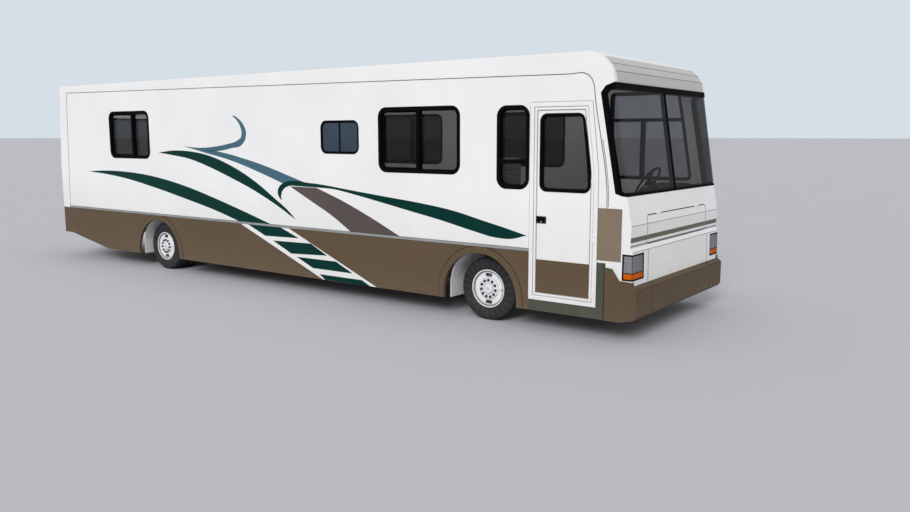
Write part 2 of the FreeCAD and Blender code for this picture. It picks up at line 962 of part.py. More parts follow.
def side_walls(shell):
    wall_ring = shell.common(across(side_region()))
    right = wall_ring.common(block(rear_x, front_x, -half_width, 0, 0, height))
    left = wall_ring.common(block(rear_x, front_x, 0, half_width, 0, height))
    strip = block(ahead(door_front_back), trim_seam_x, -half_width, -inner_half, olive_high, belt_low)
    right = right.fuse(strip).removeSplitter()
    right = right.cut(prism_y(door_outline(0), -half_width - overrun, 0))
    frames, panes = [], []
    for side in (-1, 1):
        for hole, frame, pane in side_windows(side):
            if side < 0:
                right = right.cut(hole)
            else:
                left = left.cut(hole)
            frames.append(frame)
            panes.append(pane)
    hole, vent_frame, vent_pane = vent_window()
    right = right.cut(hole)
    return right, left, frames, panes, vent_frame, vent_pane


def lamp_block(band, low, high, core):
    """The part of a shell that a headlamp takes, on the door side and round its corner."""
    corner = block(ahead(lamp_side_back) + band, front_x, -half_width - overrun,
                   -lamp_inner_y - band, low, high)
    return core.common(corner)


def headlamps(shell, skin):
    bezel = lamp_block(0, lamp_low, lamp_high, shell)
    pocket = lamp_block(lamp_band, lamp_low + lamp_band, lamp_high - lamp_band, shell)
    bezel = bezel.cut(pocket)
    lens = lamp_block(lamp_band, lamp_split_z, lamp_high - lamp_band, skin)
    turn = lamp_block(lamp_band, lamp_low + lamp_band, lamp_split_z, skin)
    return bezel, lens, turn


def nose_x(z):
    """How far forward the nose reaches between the crease and the windscreen."""
    share = (z - crease_z) / (screen_ledge_z - crease_z)
    return ahead(crease_back) + (crease_back - screen_ledge_back) * share


def nose_lean():
    return math.atan2(screen_ledge_back - crease_back, screen_ledge_z - crease_z)


def nose_lid(shell_thin):
    """The nose lid with its moving hinge halves, its hole, and the fixed halves for the cap."""
    hole = soft_prism_x([(-lid_half, lid_low), (lid_half, lid_low), (lid_half, lid_high),
                         (-lid_half, lid_high)], lid_corner, ahead(crease_back + overrun),
                        front_x + overrun)
    inset = [(-lid_half + lid_gap, lid_low + lid_foot_gap), (lid_half - lid_gap, lid_low + lid_foot_gap),
             (lid_half - lid_gap, lid_high - lid_gap), (-lid_half + lid_gap, lid_high - lid_gap)]
    plug = soft_prism_x(inset, lid_corner - lid_gap, ahead(crease_back + overrun), front_x + overrun)
    lid = shell_thin.common(plug)
    z = lid_high - lid_gap / 2
    lean = nose_lean()
    up = Vector(-math.sin(lean), 0, math.cos(lean))
    inward = Vector(-math.cos(lean), 0, -math.sin(lean))
    fixed, moving = [], []
    for y in (-lid_hinge_y, lid_hinge_y):
        pin = Vector(nose_x(z), y, z) - inward * hinge_offset
        for part, store in zip(hinge(hinge_length, hinge_leaf), (fixed, moving)):
            store.append(set_along(part, up, inward, pin))
    return lid, hole, fixed, moving


def front_cap(shell):
    cap = shell.common(across(front_region()))
    apron = shell.common(block(ahead(crease_back) - apron_depth, front_x, -inner_half, inner_half,
                               bumper_top_z, fascia_top_z + apron_lap))
    cap = fuse(cap, apron)
    cap = cap.cut(across(screen_outline()))
    for sign in (1, -1):
        lamp = block(ahead(lamp_side_back), front_x, -half_width - overrun, -lamp_inner_y,
                     lamp_low, lamp_high)
        cap = cap.cut(lamp if sign > 0 else mirror_y(lamp))
    return cap


def windscreen(shell):
    ring = across(screen_outline()).cut(across(screen_glass_outline()))
    bar = across(screen_glass_outline()).common(
        block(rear_x, front_x + overrun, -screen_bar / 2, screen_bar / 2, 0, height))
    frame = shell.common(ring.fuse(bar)).removeSplitter()
    skin = body_core(screen_glass_set).cut(body_core(screen_glass_set + glass_thick))
    glass = skin.common(across(screen_glass_outline())).cut(bar)
    return frame, glass


def rear_rectangle(y0, y1, z0, z1):
    return [(y0, z0), (y1, z0), (y1, z1), (y0, z1)]


def rear_cap(shell, skin):
    """The rear cap with its window, lamps and engine lid hole, and the pieces that fill them."""
    cap = shell.common(across(rear_region()))
    x0 = rear_x - overrun
    x1 = rear_x + rear_lean + wall + overrun
    half = rear_window_width / 2
    high = rear_window_sill + rear_window_height
    hole = soft_prism_x(rear_rectangle(-half, half, rear_window_sill, high), window_corner, x0, x1)
    inner = soft_prism_x(rear_rectangle(-half + window_band, half - window_band,
                                        rear_window_sill + window_band, high - window_band),
                         window_corner - window_band, x0, x1)
    frame = cap.common(hole).cut(inner)
    window_skin = body_core(rear_glass_set).cut(body_core(rear_glass_set + glass_thick))
    glass = window_skin.common(inner).common(block(x0, rear_x + rear_lean + wall, -half, half, 0, height))
    cap = cap.cut(hole)
    bezels, lenses, turns = [], [], []
    lamp_high_z = tail_lamp_low + tail_lamp_height
    split = tail_lamp_low + tail_lamp_height * (1 - tail_turn_share)
    outer_y = tail_lamp_inner_y + tail_lamp_width
    for sign in (-1, 1):
        ys = sorted((sign * tail_lamp_inner_y, sign * outer_y))
        lamp = block(x0, x1, ys[0], ys[1], tail_lamp_low, lamp_high_z)
        pocket = block(x0, x1, ys[0] + lamp_band, ys[1] - lamp_band, tail_lamp_low + lamp_band,
                       lamp_high_z - lamp_band)
        bezels.append(cap.common(lamp).cut(pocket))
        red = block(x0, x1, ys[0] + lamp_band, ys[1] - lamp_band, tail_lamp_low + lamp_band, split)
        amber = block(x0, x1, ys[0] + lamp_band, ys[1] - lamp_band, split, lamp_high_z - lamp_band)
        near = skin.common(block(x0, rear_x + wall, -half_width, half_width, 0, height))
        lenses.append(near.common(red))
        turns.append(near.common(amber))
        cap = cap.cut(lamp)
    return cap, frame, glass, bezels, lenses, turns


def engine_lid(cap):
    """The louvred engine lid. Its hinge runs along its top edge, just outside the rear wall."""
    x0 = rear_x - overrun
    hole = block(x0, rear_x + wall + overrun, -engine_lid_half, engine_lid_half, engine_lid_low,
                 engine_lid_high)
    lid = block(rear_x, rear_x + lid_thick, -engine_lid_half + lid_gap, engine_lid_half - lid_gap,
                engine_lid_low + lid_foot_gap, engine_lid_high - lid_gap)
    for i in range(louvre_count):
        z = engine_lid_low + louvre_first + louvre_pitch * i
        slot = block(x0, rear_x + wall, -louvre_half, louvre_half, z, z + louvre_slot)
        slot = slot.cut(block(x0, rear_x + wall, -louvre_slot, louvre_slot, z, z + louvre_slot))
        lid = lid.cut(slot)
    z = engine_lid_high - lid_gap / 2
    fixed, moving = [], []
    for y in (-louvre_half, louvre_half):
        pin = Vector(rear_x - hinge_offset, y, z)
        for part, store in zip(hinge(hinge_length, hinge_leaf), (fixed, moving)):
            store.append(set_along(part, Vector(0, 0, 1), Vector(1, 0, 0), pin))
    return cap.cut(hole), lid, fixed, moving


def arch_shape(centre_x, radius, top, y0, y1):
    """A wheel opening: half a circle on straight legs, open at the bottom."""
    centre_z = top - radius
    low = skirt_low - overrun
    cylinder = rod_y(centre_x, centre_z, radius, y0, y1)
    legs = block(centre_x - radius, centre_x + radius, y0, y1, low, centre_z)
    return cylinder.fuse(legs)


def skirt_panel(front_end):
    """One brown skirt on the door side, from the rear corner to front_end, with arches and lips."""
    outline = [
        (rear_x, rear_skirt_low),
        (rear_x + rear_ramp_start, rear_skirt_low),
        (rear_x + rear_ramp_end, skirt_low),
        (front_end, skirt_low),
        (front_end, belt_low),
        (rear_x, belt_low),
    ]
    panel = prism_y(outline, -half_width, -skirt_inner)
    arches = (
        (front_axle_x - front_arch_shift, front_arch_radius, front_arch_top),
        (rear_axle_x - rear_arch_shift, rear_arch_radius, rear_arch_top),
    )
    for x, radius, top in arches:
        lip = arch_shape(x, radius + arch_lip, top + arch_lip, -half_width - arch_lip_proud, -skirt_inner)
        lip = lip.common(block(rear_x, front_end, -half_width * 2, 0, skirt_low, belt_low))
        panel = panel.fuse(lip)
    for x, radius, top in arches:
        panel = panel.cut(arch_shape(x, radius, top, -half_width - overrun, -skirt_inner + overrun))
    return panel.removeSplitter()


def door_surround():
    frame_x0 = ahead(door_rear_back)
    frame_x1 = ahead(door_front_back)
    panel = block(frame_x0, trim_seam_x, -half_width, -skirt_inner, skirt_low, olive_high)
    return panel.cut(block(frame_x0, frame_x1, -half_width - overrun, 0, door_low, height))


def belt_strips():
    rear = rear_x + trim_rear_foot_gap
    right = block(rear, ahead(door_rear_back), -half_width - belt_proud, -half_width,
                  belt_low, belt_high)
    left = block(rear, ahead(plate_rear_back), half_width, half_width + belt_proud, belt_low, belt_high)
    return Part.makeCompound([right, left])


def tan_plates():
    plate = block(ahead(plate_rear_back), ahead(plate_front_back), -half_width - plate_thick,
                  -half_width, plate_low, plate_high)
    return both_sides(plate)


def front_bumper():
    """Bumper and lower corners in one moulding, open at the back."""
    side_outline = [
        (trim_seam_x, skirt_low),
        (ahead(bumper_heel_back), skirt_low),
        (ahead(bumper_toe_back), bumper_toe_z),
        (front_x, bumper_face_low),
        (front_x, bumper_face_high),
        (lip_x, bumper_top_z),
        (lip_x, fascia_top_z),
        (ahead(fascia_drop_back), fascia_drop_z),
        (ahead(fascia_bend_back), fascia_bend_z),
        (trim_seam_x, fascia_seam_z),
    ]
    side_panel = prism_y(side_outline, -bumper_half, -skirt_inner)
    beam_outline = side_outline[:6] + [(trim_seam_x, bumper_top_z)]
    beam = prism_y(beam_outline, -skirt_inner, skirt_inner)
    hollow = face_of([Vector(x, -skirt_inner, z) for x, z in beam_outline])
    hollow = hollow.makeOffset2D(-bumper_wall, 2).extrude(Vector(0, 2 * skirt_inner, 0))
    heel = ahead(bumper_heel_back)
    beam = beam.cut(hollow).cut(block(rear_x, heel, -half_width, half_width, 0, height))
    bumper = fuse(beam, side_panel, mirror_y(side_panel))
    for y in (-bumper_seam_y, bumper_seam_y):
        bumper = bumper.cut(block(front_x - seam_depth, front_x + overrun, y - seam_width / 2,
                                  y + seam_width / 2, 0, height))
    recess = block(front_x - seam_depth, front_x + overrun, -plate_recess_half, plate_recess_half,
                   plate_recess_low, plate_recess_high)
    return bumper.cut(recess)


def rear_bumper():
    return block(rear_x, rear_x + wall, -skirt_inner, skirt_inner, rear_skirt_low, belt_low)


def wheel_liners():
    """A half-round liner over each wheel, open on its inner side."""
    liners = []
    outer = liner_radius + liner_thick
    for x in (front_axle_x, rear_axle_x):
        y0, y1 = -inner_half, -inner_half + liner_depth
        skin = rod_y(x, axle_z, outer, y0, y1).cut(rod_y(x, axle_z, liner_radius, y0, y1))
        skin = skin.common(block(x - outer, x + outer, y0, y1, axle_z, axle_z + outer))
        legs = [block(x - outer, x - liner_radius, y0, y1, skirt_low, axle_z),
                block(x + liner_radius, x + outer, y0, y1, skirt_low, axle_z)]
        liner = fuse(skin, *legs)
        liners += [liner, mirror_y(liner)]
    return Part.makeCompound(liners)


# Wheels
def tyre_ring(x, y, z):
    """One tyre as rings of flat facets, few enough for a light mesh."""
    half = tyre_width / 2
    depth = tyre_radius - rim_seat
    rings = []
    for i in range(tyre_facets):
        angle = 2 * math.pi * i / tyre_facets
        ring = []
        for t, r in tyre_shares:
            radius = rim_seat / math.cos(math.pi / tyre_facets) + depth * r
            radius = min(radius, tyre_radius)
            ring.append(Vector(x + radius * math.sin(angle), y + t * half, z + radius * math.cos(angle)))
        rings.append(ring)
    faces = []
    for i in range(tyre_facets):
        one, two = rings[i], rings[(i + 1) % tyre_facets]
        for j in range(len(one)):
            k = (j + 1) % len(one)
            faces.append(face_of([one[j], one[k], two[k], two[j]]))
    return Part.Solid(Part.Shell(faces))


def rim_profile():
    """Rim barrel, disc, hub face and centre cap, as (outward, radius)."""
    half = rim_half
    seat_half = tyre_width / 2 * -tyre_shares[0][0] + bead_gap
    flange_in = half - flange_lip
    back = disc_face - disc_thick
    return [
        (-half, rim_flange), (-flange_in, rim_flange), (-seat_half, rim_seat), (seat_half, rim_seat),
        (flange_in, rim_flange), (half, rim_flange), (half, rim_flange - disc_thick),
        (disc_face, rim_barrel), (disc_face, hub_face_radius),
        (disc_face + hub_rise, hub_face_radius - hub_rise),
        (disc_face + hub_rise, cap_radius), (disc_face + cap_rise, cap_radius - hub_rise),
        (disc_face + cap_rise, 0), (back, 0), (back, rim_barrel), (-flange_in, rim_barrel),
    ]


def hand_holes(x, y, z, outward):
    """The two long holes in the disc, one above the hub and one below."""
    holes = []
    y0, y1 = sorted((y, y + outward * (rim_half + overrun)))
    for sign in (-1, 1):
        hz = z + sign * hand_hole_reach
        for dx in (-hand_hole_stretch, hand_hole_stretch):
            holes.append(rod_y(x + dx, hz, hand_hole_radius, y0, y1))
        holes.append(block(x - hand_hole_stretch, x + hand_hole_stretch, y0, y1,
                           hz - hand_hole_radius, hz + hand_hole_radius))
    return holes


def front_rim(outward):
    """Front wheel disc with its brake drum, bored for the spindle."""
    x, y, z = front_axle_x, wheel_y * outward, axle_z
    rim = turned(rim_profile(), x, y, z, outward)
    back = disc_face - disc_thick
    drum = turned([(back, 0), (back, hub_face_radius), (0, hub_face_radius), (0, drum_radius),
                   (-drum_length, drum_radius), (-drum_length, 0)], x, y, z, outward)
    rim = rim.cut(hand_holes(x, y, z, outward)[0])
    for hole in hand_holes(x, y, z, outward)[1:]:
        rim = rim.cut(hole)
    bore = spindle_radius + bearing_gap
    y0, y1 = sorted((y - outward * (drum_length + overrun), y + outward * (back - bore_stop)))
    return fuse(rim, drum).cut(rod_y(x, z, bore, y0, y1))


def rear_rim(outward):
    """Outer and inner rear rims on one hub and drum, bored for the axle stub."""
    x, y, z = rear_axle_x, wheel_y * outward, axle_z
    outer = turned(rim_profile(), x, y, z, outward)
    for hole in hand_holes(x, y, z, outward):
        outer = outer.cut(hole)
    inner = turned(rim_profile(), x, y - outward * dual_spacing, z, outward)
    back = disc_face - disc_thick
    hub = turned([(back, 0), (back, hub_face_radius), (-dual_spacing, hub_face_radius),
                  (-dual_spacing, drum_radius), (-dual_spacing - drum_length, drum_radius),
                  (-dual_spacing - drum_length, 0)], x, y, z, outward)
    bore = stub_radius + bearing_gap
    y0, y1 = sorted((y - outward * (dual_spacing + drum_length + overrun),
                     y + outward * (back - bore_stop)))
    return fuse(outer, inner, hub).cut(rod_y(x, z, bore, y0, y1))


# Axles and steering
def knuckle(outward):
    """Steering knuckle: two arms round the kingpin, a web outside them and the wheel's spindle."""
    x, y, z = front_axle_x, kingpin_y, axle_z
    low = z - boss_height / 2 - knuckle_gap - knuckle_arm
    high = z + boss_height / 2 + knuckle_gap + knuckle_arm
    bore = kingpin_radius + bearing_gap
    arms = []
    for z0 in (low, high - knuckle_arm):
        arm = rod_z(x, y, boss_radius, z0, z0 + knuckle_arm)
        arm = arm.fuse(block(x - boss_radius, x + boss_radius, y, y + knuckle_web_out, z0,
                             z0 + knuckle_arm))
        arms.append(arm)
    web = block(x - knuckle_half, x + knuckle_half, y + knuckle_web_in, y + knuckle_web_out, low, high)
    end = wheel_y + disc_face - disc_thick - spindle_stop
    spindle = rod_y(x, z, spindle_radius, y + knuckle_web_in, end)
    body = fuse(web, spindle, *arms).cut(rod_z(x, y, bore, low, high))
    return body if outward > 0 else mirror_y(body)


def front_axle():
    """Dropped beam with a boss and a kingpin at each end."""
    x, z = front_axle_x, axle_z
    span = kingpin_y - boss_radius
    beam = block(x - axle_beam_half, x + axle_beam_half, -span - beam_lap, span + beam_lap,
                 z - axle_beam_height / 2, z + axle_beam_height / 2)
    low = z - boss_height / 2
    high = z + boss_height / 2
    ends = []
    for sign in (-1, 1):
        y = sign * kingpin_y
        ends.append(rod_z(x, y, boss_radius, low, high))
        ends.append(rod_z(x, y, kingpin_radius, low - knuckle_gap - knuckle_arm,
                          high + knuckle_gap + knuckle_arm))
    return fuse(beam, *ends)


def rear_axle():
    """Axle tube with its differential and a stub for each pair of wheels."""
    x, z = rear_axle_x, axle_z
    tube_end = wheel_y - dual_spacing - drum_length - spindle_stop
    stub_end = wheel_y + disc_face - disc_thick - spindle_stop
    tube = rod_y(x, z, axle_tube_radius, -tube_end, tube_end)
    stub = rod_y(x, z, stub_radius, -stub_end, stub_end)
    bowl = rod_y(x, z, diff_radius, -diff_half, diff_half)
    nose = Part.makeCylinder(axle_tube_radius, diff_nose, Vector(x, 0, z), Vector(-1, 0, 0))
    return fuse(tube, stub, bowl, nose)


def leaf_spring(x, seat_z, side):
    """One leaf pack bowed down to its axle seat, with a hanger up to the rail at each end."""
    y0 = side * (rail_outer_y - rail_wide / 2) - spring_width / 2
    end_z = seat_z + spring_bow
    low = [Vector(x - spring_half_length, y0, end_z), Vector(x, y0, seat_z),
           Vector(x + spring_half_length, y0, end_z)]
    high = [p + Vector(0, 0, spring_thick) for p in low]
    edges = [Part.Arc(low[0], low[1], low[2]).toShape(),
             Part.LineSegment(low[2], high[2]).toShape(),
             Part.Arc(high[2], high[1], high[0]).toShape(),
             Part.LineSegment(high[0], low[0]).toShape()]
    pack = Part.Face(Part.Wire(edges)).extrude(Vector(0, spring_width, 0))
    hangers = []
    for sign in (-1, 1):
        hx = x + sign * (spring_half_length - spring_hanger / 2)
        hangers.append(block(hx - spring_hanger / 2, hx + spring_hanger / 2, y0, y0 + spring_width,
                             end_z, rail_low))
    return fuse(pack, *hangers)


def leaf_springs():
    springs = []
    for side in (-1, 1):
        springs.append(leaf_spring(front_axle_x, axle_z + axle_beam_height / 2, side))
        springs.append(leaf_spring(rear_axle_x, axle_z + axle_tube_radius, side))
    return Part.makeCompound(springs)


def cross_place(share):
    """The rear edge of one cross-member ahead of the engine deck."""
    first = rear_x + deck_gap
    return first + (ahead(rail_front_back) - cross_wide - first) * share


def chassis_frame():
    """Two rails with cross-members, and posts up to the floor."""
    x0 = rear_x + rail_rear_gap
    x1 = ahead(rail_front_back)
    inner = rail_outer_y - rail_wide
    rails = []
    for y0, y1 in ((-rail_outer_y, -inner), (inner, rail_outer_y)):
        rails.append(block(x0, x1, y0, y1, rail_low, rail_high))
    parts = list(rails)
    parts.append(block(x0, x0 + cross_wide, -inner, inner, cross_low, cross_high))
    for share in cross_shares:
        x = cross_place(share)
        parts.append(block(x, x + cross_wide, -inner, inner, cross_low, cross_high))
        for y0, y1 in ((-rail_outer_y, -inner), (inner, rail_outer_y)):
            parts.append(block(x, x + cross_wide, y0, y1, rail_high, floor_low))
    return fuse(*parts)


def floor_panel():
    """Cabin floor with the step well cut out at the entry door."""
    floor = block(rear_x + deck_gap, ahead(screen_ledge_back + wall), -inner_half, inner_half,
                  floor_low, floor_high)
    x0 = ahead(door_rear_back) + door_frame_band
    x1 = ahead(door_front_back) - door_frame_band
    well = block(x0 - step_side, x1 + step_side, -inner_half, -inner_half + step_well_depth + step_skin,
                 floor_low - overrun, floor_high + overrun)
    return floor.cut(well)


def step_well():
    """Two entry steps between side plates, open towards the door."""
    x0 = ahead(door_rear_back) + door_frame_band
    x1 = ahead(door_front_back) - door_frame_band
    y0 = -inner_half
    y1 = y0 + step_run
    y2 = y0 + step_well_depth
    parts = [
        block(x0, x1, y0, y1 + step_skin, step_tread_z - step_skin, step_tread_z),
        block(x0, x1, y1, y1 + step_skin, step_tread_z, step_mid_z),
        block(x0, x1, y1, y2 + step_skin, step_mid_z - step_skin, step_mid_z),
        block(x0, x1, y2, y2 + step_skin, step_mid_z, floor_high),
        block(x0 - step_side, x0, y0, y2 + step_skin, step_tread_z - step_skin, floor_high),
        block(x1, x1 + step_side, y0, y2 + step_skin, step_tread_z - step_skin, floor_high),
    ]
    return fuse(*parts)


def rear_deck():
    """Raised deck over the engine, with the bulkhead in front of it."""
    x0 = rear_x + wall
    x1 = rear_x + deck_gap
    bulkhead = block(x1 - floor_thick, x1, -inner_half, inner_half, floor_low, deck_z)
    deck = block(x0, x1, -inner_half, inner_half, deck_z, deck_z + floor_thick)
    return fuse(bulkhead, deck)


def rod_x(x0, x1, y, z, radius):
    return Part.makeCylinder(radius, x1 - x0, Vector(x0, y, z), Vector(1, 0, 0))


def engine_block():
    """The engine as one mass between the rails, with its gearbox on the front end."""
    inner = rail_outer_y - rail_wide
    x0 = rear_x + engine_front_gap
    z = engine_low + gearbox_rise
    engine = block(rear_x + engine_rear_gap, x0, -inner, inner, engine_low, engine_high)
    return fuse(engine, rod_x(x0, x0 + bell_length, 0, z, bell_radius),
                rod_x(x0, x0 + gearbox_length, 0, z, gearbox_radius))


def driveshaft():
    """Sloping shaft from the gearbox to the axle, with a straight joint at each end."""
    start = Vector(rear_x + engine_front_gap + gearbox_length, 0, engine_low + gearbox_rise)
    end = Vector(rear_axle_x - diff_nose, 0, axle_z)
    low = start + Vector(shaft_stub - shaft_lap, 0, 0)
    high = end - Vector(shaft_stub - shaft_lap, 0, 0)
    tube = Part.makeCylinder(shaft_radius, (high - low).Length, low, high - low)
    return fuse(tube, rod_x(start.x, start.x + shaft_stub, 0, start.z, shaft_stub_radius),
                rod_x(end.x - shaft_stub, end.x, 0, end.z, shaft_stub_radius))


def pipe_run(points, radius):
    """Round pipe through the points, with a ball in each bend."""
    parts = [Part.makeSphere(radius, p) for p in points[1:-1]]
    for i in range(len(points) - 1):
        reach = points[i + 1] - points[i]
        parts.append(Part.makeCylinder(radius, reach.Length, points[i], reach))
    return parts


def exhaust():
    """Muffler beside the engine, its inlet and tailpipe, and two hangers from the rail."""
    x0 = rear_x + muffler_rear_gap
    x1 = x0 + muffler_length
    z = engine_low - pipe_radius + muffler_rise
    pipe_low = rear_skirt_low - pipe_clearance - pipe_radius
    muffler = rod_x(x0, x1, muffler_y, z, muffler_radius)
    inlet_x = x1 - muffler_inlet_gap
    inlet = rod_y(inlet_x, z, pipe_radius, rail_outer_y - rail_wide, muffler_y)
    tail = pipe_run([Vector(x0 + pipe_radius, muffler_y, z), Vector(x0 - pipe_straight, muffler_y, z),
                     Vector(rear_x + pipe_fall_gap, muffler_y, pipe_low),
                     Vector(rear_x + pipe_end_gap, muffler_y, pipe_low)], pipe_radius)
    top = z + muffler_radius - muffler_hanger_drop
    hangers = []
    for x in (x0 + muffler_hanger_inset, x1 - muffler_hanger_inset):
        hangers.append(block(x - muffler_hanger / 2, x + muffler_hanger / 2, rail_outer_y, muffler_y,
                             top - muffler_hanger_thick, top))
    bore = rod_x(rear_x, rear_x + pipe_bore, muffler_y, pipe_low, pipe_radius - pipe_wall)
    return fuse(muffler, inlet, *tail, *hangers).cut(bore)


def tanks():
    """The fuel tank and two air tanks, hung under the cross-members between the rails."""
    x0 = cross_place(cross_shares[4]) - fuel_tank_lap
    x1 = cross_place(cross_shares[5]) + cross_wide + fuel_tank_lap
    fuel = block(x0, x1, -fuel_tank_half, fuel_tank_half, cross_low - fuel_tank_tall, cross_low)
    along = [e for e in fuel.Edges if abs(e.tangentAt(e.FirstParameter).x) > upright_share]
    stores = [fuel.makeFillet(fuel_tank_round, along)]
    middle = cross_place(cross_shares[2]) + cross_wide / 2
    z = cross_low - air_tank_drop - air_tank_radius
    for y in (-air_tank_y, air_tank_y):
        drum = rod_x(middle - air_tank_length / 2, middle + air_tank_length / 2, y, z, air_tank_radius)
        rims = [e for e in drum.Edges if e.isClosed()]
        drum = drum.makeFillet(air_tank_round, rims)
        saddle = block(middle - air_tank_saddle / 2, middle + air_tank_saddle / 2,
                       y - air_tank_saddle / 2, y + air_tank_saddle / 2, z, cross_low)
        stores.append(fuse(drum, saddle))
    return Part.makeCompound(stores)


def storage_bays():
    """Closed bays between the axles, hung from the floor on each side."""
    front = front_axle_x - bay_front_gap
    rear = rear_axle_x + bay_rear_gap
    step = (front - rear) / bay_count
    bays = []
    for i in range(bay_count):
        x0 = rear + step * i + bay_space / 2
        bay = block(x0, x0 + step - bay_space, -bay_outer_y, -bay_inner_y, bay_low, floor_low)
        bays += [bay, mirror_y(bay)]
    return Part.makeCompound(bays)


# Cab
def dashboard():
    outline = [
        (ahead(dash_back), dash_knee_z), (ahead(dash_back) + dash_knee_depth, floor_high),
        (ahead(dash_front_back), floor_high), (ahead(dash_front_back), dash_top_z),
        (ahead(dash_back), dash_top_z - dash_fall),
    ]
    main = prism_y(outline, -dash_door_y, dash_half)
    shelf_outline = [
        (ahead(dash_door_back), floor_high), (ahead(dash_front_back), floor_high),
        (ahead(dash_front_back), dash_top_z), (ahead(dash_door_back), dash_top_z - dash_fall),
    ]
    shelf = prism_y(shelf_outline, -dash_half, -dash_door_y)
    low_z = dash_top_z - dash_fall
    arc = Part.Arc(Vector(0, hood_y - hood_half, low_z), Vector(0, hood_y, dash_top_z + hood_rise),
                   Vector(0, min(hood_y + hood_half, dash_half), low_z + hood_side_rise)).toShape()
    ends = arc.Vertexes
    line = Part.LineSegment(ends[1].Point, Vector(0, ends[1].Point.y, low_z)).toShape()
    base = Part.LineSegment(Vector(0, ends[1].Point.y, low_z), ends[0].Point).toShape()
    hood = Part.Face(Part.Wire([arc, line, base])).extrude(Vector(hood_depth, 0, 0))
    hood.translate(Vector(ahead(hood_back), 0, 0))
    return fuse(main, shelf, hood)


def steering_wheel():
    """Wheel rim, three spokes and the column down into the dashboard."""
    rim = Part.makeTorus(wheel_rim_radius, wheel_rim_tube)
    hub = Part.makeCylinder(wheel_hub_radius, wheel_rim_tube * 2, Vector(0, 0, -wheel_rim_tube))
    parts = [hub]
    spoke_half = wheel_rim_tube * spoke_share
    for angle in spoke_turns:
        spoke = block(0, wheel_rim_radius, -wheel_rim_tube, wheel_rim_tube, -spoke_half, spoke_half)
        spoke.rotate(Vector(0, 0, 0), Vector(0, 0, 1), angle)
        parts.append(spoke)
    column = Part.makeCylinder(column_radius, column_length, Vector(0, 0, -column_length))
    wheel = fuse(rim, column, *parts)
    wheel.rotate(Vector(0, 0, 0), Vector(0, 1, 0), -column_tilt)
    wheel.translate(Vector(ahead(column_back), driver_y, column_z))
    return wheel


def cab_seat(back, y):
    """Pedestal, cushion and backrest of one seat, as separate solids."""
    x0 = ahead(back)
    x1 = x0 + seat_deep
    half = seat_wide / 2
    ped = seat_pedestal / 2
    mid = (x0 + x1) / 2
    top = seat_height
    pedestal = block(mid - ped, mid + ped, y - ped, y + ped, floor_high, top - seat_cushion - seat_gap)
    cushion = block(x0, x1, y - half, y + half, top - seat_cushion, top)
    cushion = cushion.makeFillet(seat_round, cushion.Edges)
    back = block(x0 - seat_back_thick, x0 - seat_gap, y - half, y + half, top - seat_cushion,
                 top + seat_back_height)
    back = back.makeFillet(seat_back_round, back.Edges)
    return pedestal, cushion, back


def upright_edges(shape):
    return [e for e in shape.Edges if abs(e.tangentAt(e.FirstParameter).z) > upright_share]


def roof_vents():
    vents = []
    for share in roof_vent_shares:
        x = front_x - length * share
        base = block(x - roof_vent_half, x + roof_vent_half, -roof_vent_half, roof_vent_half, height,
                     height + roof_vent_high)
        vents.append(base.makeFillet(roof_vent_round, upright_edges(base)))
    return Part.makeCompound(vents)


def tow_eyes():
    """A bracket under each rail's front end, with a flat tongue and an upright eye in it."""
    eyes = []
    x1 = ahead(rail_front_back)
    hole_x = x1 - tow_eye_round
    foot_x = hole_x - tow_eye_reach
    for sign in (-1, 1):
        y = sign * tow_eye_y
        y0, y1 = y - tow_eye_round, y + tow_eye_round
        bracket = block(foot_x - tow_eye_thick, foot_x, y0 + tow_eye_inset, y1 - tow_eye_inset,
                        tow_eye_z, rail_low)
        tongue = block(foot_x - tow_eye_thick, hole_x, y0, y1, tow_eye_z, tow_eye_z + tow_eye_thick)
        end = rod_z(hole_x, y, tow_eye_round, tow_eye_z, tow_eye_z + tow_eye_thick)
        hole = rod_z(hole_x, y, tow_eye_hole, tow_eye_z - overrun, tow_eye_z + overrun)
        eyes.append(fuse(bracket, tongue, end).cut(hole))
    return Part.makeCompound(eyes)


def hitch_receiver():
    """Square tube under the rear cross-member, with a pin hole across it."""
    x0 = rear_x + receiver_set
    x1 = x0 + receiver_length
    tube = block(x0, x1, -receiver_half, receiver_half, receiver_z - receiver_half,
                 receiver_z + receiver_half)
    tube = tube.cut(block(x0 - overrun, x1 + overrun, -receiver_bore_half, receiver_bore_half,
                          receiver_z - receiver_bore_half, receiver_z + receiver_bore_half))
    post_x = rear_x + rail_rear_gap
    post = block(post_x, post_x + cross_wide, -receiver_half, receiver_half,
                 receiver_z + receiver_half, cross_low)
    pin = rod_y(x0 + receiver_pin_gap, receiver_z, receiver_pin, -overrun, overrun)
    return fuse(tube, post).cut(pin)


def save(name, shape):
    """Writes one piece, as its separate closed solids."""
    solids = shape.Solids
    out = solids[0] if len(solids) == 1 else Part.makeCompound(solids)
    out.exportStep("parts/" + name + ".step")
    print(name, len(solids), "solids", round(out.Volume / 1e9, 4), "m3", out.isValid())


